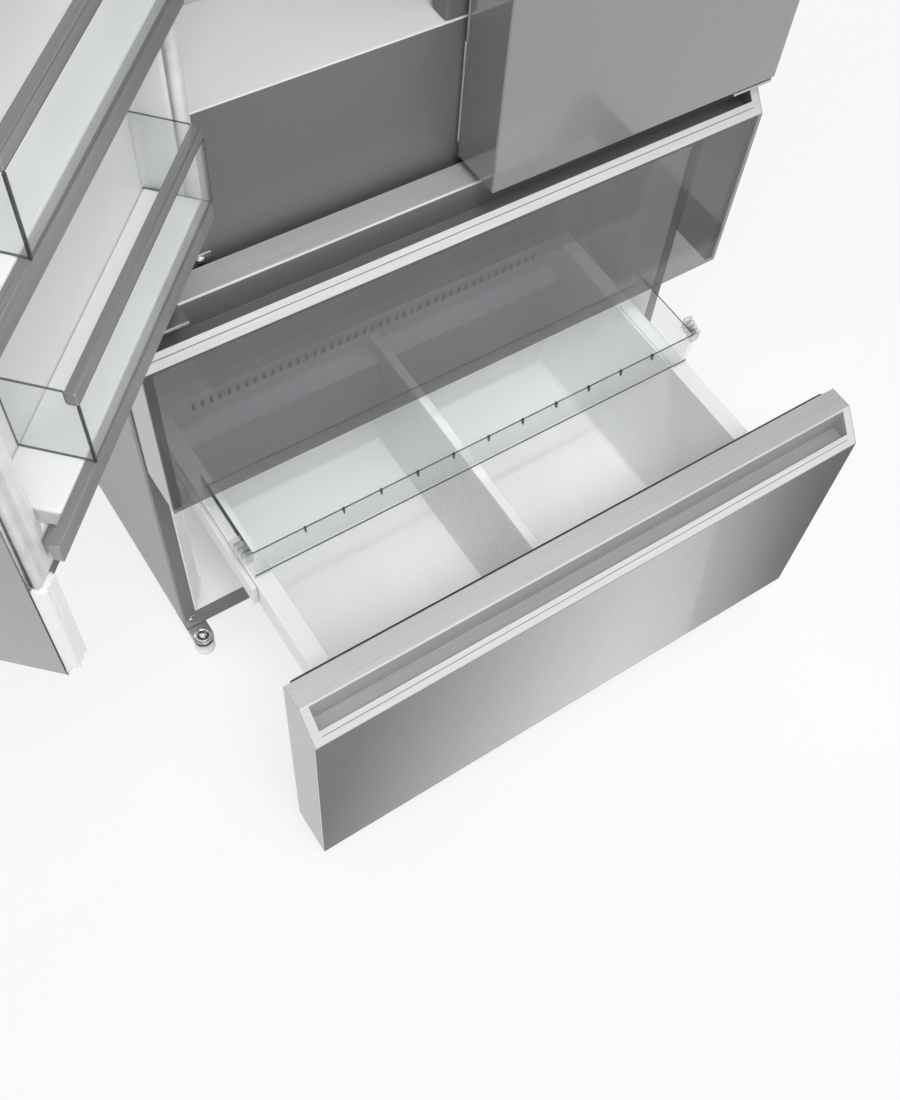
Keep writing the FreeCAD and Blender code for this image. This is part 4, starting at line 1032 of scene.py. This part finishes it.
def fridge_fittings():
    """Trims and rests of the glass shelves, slots of the air duct and the crispers' grip strips."""
    start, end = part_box("glass_shelves")
    rise = (end.z - start.z - SHELF_THICK) / (SHELF_COUNT - 1)
    row = {"Count": SHELF_COUNT, "Step": (0, 0, rise)}
    first = Vector((0, start.y + SHELF_TRIM_BACK, start.z + SHELF_THICK / 2))
    trims = [{"First": first, "Size": (end.x - start.x, *SHELF_TRIM_THICK), **row}]
    add_bars("shelf_trims", trims, "cabinet", "metal_trim", radius=1.2 * MM)
    rest_size = (REST_THICK[0], end.y - start.y - REST_IN.y, REST_THICK[1])
    rests = []
    for edge in (start.x, end.x):
        inwards = -math.copysign(REST_IN.x, edge)
        rest = Vector((edge + inwards, (start.y + end.y) / 2, start.z - REST_IN.z))
        rests.append({"First": rest, "Size": rest_size, **row})
    add_bars("shelf_rests", rests, "cabinet", "white_plastic", radius=1.5 * MM)

    softened("air_duct", 5 * MM, steps=3)
    # The duct's slots are dark bars: painted shade for the openings
    row = {"Count": DUCT_SLOT_COUNT, "Step": (0, 0, DUCT_SLOT_PITCH), "Size": DUCT_SLOT_SIZE}
    slots = []
    for level in range(SHELF_COUNT + 1):
        height = start.z - DUCT_SLOT_DROP + rise * level
        slots.append({"First": Vector((0, low("air_duct").y + DUCT_SLOT_SUNK, height)), **row})
    add_bars("air_duct_slots", slots, "cabinet", "dark_plastic", radius=0.4 * MM)
    for crisper in ("crisper_left", "crisper_right"):
        start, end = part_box(crisper)
        place = Vector(((start.x + end.x) / 2, start.y - GRIP_PROUD, end.z - GRIP_DROP))
        grip = {"Count": 1, "First": place, "Size": GRIP_SIZE}
        add_bars(f"{crisper}_grip", [grip], crisper, "metal_trim", radius=1.0 * MM)


def cabinet():
    softened("cabinet_shell", 4 * MM, steps=3)
    softened("front_frame", 1.4 * MM)
    for room in ("freezer", "fridge"):
        softened(f"{room}_liner", 1.0 * MM, 6 * MM, steps=3)
    softened("centre_post", 4 * MM, steps=3)
    softened("glass_shelves", 1.0 * MM, finishes=["clear_glass", "glass_edge"])
    for side in ("left", "right"):
        softened(f"crisper_{side}", 1.3 * MM, 6 * MM, steps=3, finishes=["clear_plastic", "clear_edge_shade"])
        softened(f"top_hinge_{side}", 1.0 * MM)
        softened(f"middle_hinge_{side}", 1.2 * MM, 1.0 * MM)
    softened("hinge_covers", 6 * MM, steps=3)
    # The brackets' upright faces take the dark finish: painted shade and dark reflection on the chrome
    softened("foot_brackets", 1.0 * MM, finishes=["chrome_metal", "dark_plastic"], second=is_upright)
    for node in ("drawer_rails", "freezer_slides", "freezer_runners", "middle_slides", "middle_runners"):
        softened(node, 1.2 * MM, finishes=["white_paint"])
    frame_seams()
    for side in ("left", "right"):
        levelling_foot(f"foot_{side}")
    cabinet_screws()
    rear_sheets()
    fridge_fittings()


# Light, floor and camera

WORLD_STRENGTH = 0.78
FLOOR_REACH = 20
FLOOR_WHITENESS = 0.72
CARD_LEVEL = 2 * MM
CARD_STRENGTH = 1.25
# The card's grades across its direction: (place, brightness)
CARD_GRADES = [
    (0.17, 0.16), (0.22, 0.42), (0.27, 0.66), (0.31, 0.84), (0.35, 0.94), (0.375, 0.88), (0.404, 0.74),
    (0.406, 0.56), (0.43, 0.40), (0.46, 0.18), (0.49, 0.05),
]
GLOSSY_ONLY = ("camera", "diffuse", "transmission", "shadow", "volume_scatter")


def stage_sheet(name, corners, material, hidden_from=()):
    """A flat sheet that belongs to the stage."""
    shape = bmesh.new()
    shape.faces.new([shape.verts.new(corner) for corner in corners])
    mesh = as_mesh(shape, name)
    mesh.materials.append(material)
    placed(name, mesh, hidden_from)


def level_corners(left, front, right, back, height):
    return [(left, front, height), (right, front, height), (right, back, height), (left, back, height)]


def studio_rays(tree):
    """One for rays from the camera, from glossy surfaces and through clear ones, zero for the rest."""
    path = shader_node(tree, "LightPath")
    total = path.outputs["Is Camera Ray"]
    for ray in ("Is Glossy Ray", "Is Transmission Ray"):
        most = shader_node(tree, "Math")
        most.operation = "MAXIMUM"
        tree.links.new(total, most.inputs[0])
        tree.links.new(path.outputs[ray], most.inputs[1])
        total = most.outputs["Value"]
    return total


def white_world():
    world = bpy.data.worlds.new("studio")
    SCENE.world = world
    world.use_nodes = True
    tree = world.node_tree
    background = tree.nodes["Background"]
    background.inputs["Color"].default_value = (1, 1, 1, 1)
    level = shader_node(tree, "MapRange", Value=studio_rays(tree), To_Min=WORLD_STRENGTH, To_Max=1.0)
    tree.links.new(level.outputs["Result"], background.inputs["Strength"])


def pale_floor():
    """A floor that looks almost white and keeps a soft shadow."""
    floor = Finish("pale_floor", grey(0.9), 0.9)
    tree = floor.tree
    glow = shader_node(tree, "Emission")
    share = shader_node(tree, "MapRange", Value=studio_rays(tree), To_Max=FLOOR_WHITENESS)
    mix = shader_node(tree, "MixShader", Fac=share.outputs["Result"])
    tree.links.new(floor.shader.outputs["BSDF"], mix.inputs[1])
    tree.links.new(glow.outputs["Emission"], mix.inputs[2])
    tree.links.new(mix.outputs["Shader"], tree.nodes["Material Output"].inputs["Surface"])
    corners = level_corners(-FLOOR_REACH, -FLOOR_REACH, FLOOR_REACH, FLOOR_REACH, 0)
    stage_sheet("floor", corners, floor.material)


def reflector_card(left, front, right, back, across):
    """A card on the floor, graded along one direction, that only shows as a reflection."""
    material = bpy.data.materials.new("graded_card")
    material.use_nodes = True
    tree = material.node_tree
    tree.nodes.remove(tree.nodes["Principled BSDF"])
    along = shader_node(tree, "VectorMath")
    along.operation = "DOT_PRODUCT"
    along.inputs[1].default_value = (*across, 0)
    tree.links.new(shader_node(tree, "TexCoord").outputs["Object"], along.inputs[0])
    share = shader_node(tree, "MapRange", Value=along.outputs["Value"], From_Min=-1.0, From_Max=1.0)
    ramp = shader_node(tree, "ValToRGB", Fac=share.outputs["Result"])
    for grade in CARD_GRADES[1:-1]:
        ramp.color_ramp.elements.new(grade[0])
    for element, (place, level) in zip(ramp.color_ramp.elements, CARD_GRADES):
        element.position = place
        element.color = (level, level, level, 1)
    glow = shader_node(tree, "Emission", Color=ramp.outputs["Color"], Strength=CARD_STRENGTH)
    tree.links.new(glow.outputs["Emission"], tree.nodes["Material Output"].inputs["Surface"])
    corners = level_corners(left, front, right, back, CARD_LEVEL)
    stage_sheet("reflector_card", corners, material, GLOSSY_ONLY)


def dark_flag(start, end):
    """An upright dark card at the right that only shows as a reflection."""
    corners = [start, (end[0], end[1], start[2]), end, (start[0], start[1], end[2])]
    stage_sheet("dark_flag", corners, FINISHES["dark_plastic"], GLOSSY_ONLY)


def add_lamp(name, kind, place, target, power, hidden_from=(), **settings):
    """A lamp aimed at a target, with the settings of its kind."""
    data = bpy.data.lights.new(name, kind)
    data.energy = power
    for setting, value in settings.items():
        setattr(data, setting, value)
    lamp = placed(name, data, hidden_from)
    lamp.location = place
    lamp.rotation_euler = (Vector(target) - Vector(place)).to_track_quat("-Z", "Y").to_euler()


def drawer_lamp(name, place, target, spread, power):
    """A spot into the pulled-out drawer that makes no highlights."""
    soft = {"spot_size": math.radians(spread), "spot_blend": 0.7, "shadow_soft_size": 0.6}
    add_lamp(name, "SPOT", place, target, power, ["glossy"], **soft)


def bay_lamp(name, place, target, length, depth, power):
    """A flat lamp inside the freezer bay."""
    flat = {"shape": "RECTANGLE", "size": length, "size_y": depth}
    add_lamp(name, "AREA", place, target, power, ["camera", "glossy"], **flat)


def add_camera():
    """The photograph's viewpoint, worked out from the edges of the lower drawer."""
    right = Vector((0.82473, -0.55796, 0.09220))
    up = Vector((0.44405, 0.73987, 0.50538))
    data = bpy.data.cameras.new("camera")
    data.lens = 41.43
    data.sensor_width = 36
    data.shift_x = -0.04607
    data.shift_y = 0.00538
    camera = placed("camera", data)
    axes = Matrix((right, up, right.cross(up))).transposed().to_4x4()
    camera.matrix_world = Matrix.Translation((-0.70263, -0.97447, 1.92451)) @ axes
    SCENE.camera = camera


def studio():
    SCENE.view_settings.view_transform = "Standard"
    white_world()
    pale_floor()
    reflector_card(left=-0.9, front=-0.95, right=0.95, back=-0.45, across=(0.619, 0.786))
    dark_flag(start=(1.05, -0.6, 0.55), end=(1.05, 0.9, 2.6))
    add_lamp("key_lamp", "AREA", (-0.5, -1.5, 3.5), (0, -0.15, 0.2), 33, shape="DISK", size=1.3)
    drawer_lamp("drawer_lamp", (-0.15, -1.6, 3.3), (0.05, -0.1, 0.2), spread=24, power=105)
    drawer_lamp("side_lamp", (-1.6, -1.2, 2.4), (0.24, -0.22, 0.22), spread=17, power=90)
    bay_lamp("vent_lamp", (0, 0.05, 0.80), (0, 0.174, 0.339), length=0.66, depth=0.04, power=3.0)
    bay_lamp("floor_lamp", (-0.396, 0.17, 0.30), (-0.396, 0.17, 0.1), length=0.03, depth=0.24, power=0.2)
    add_camera()


lower_drawer()
middle_drawer()
doors()
cabinet()
for node, part in NODES.items():
    for place in part.material_slots:
        place.material = FINISHES[SLOT_OF[node]]
studio()
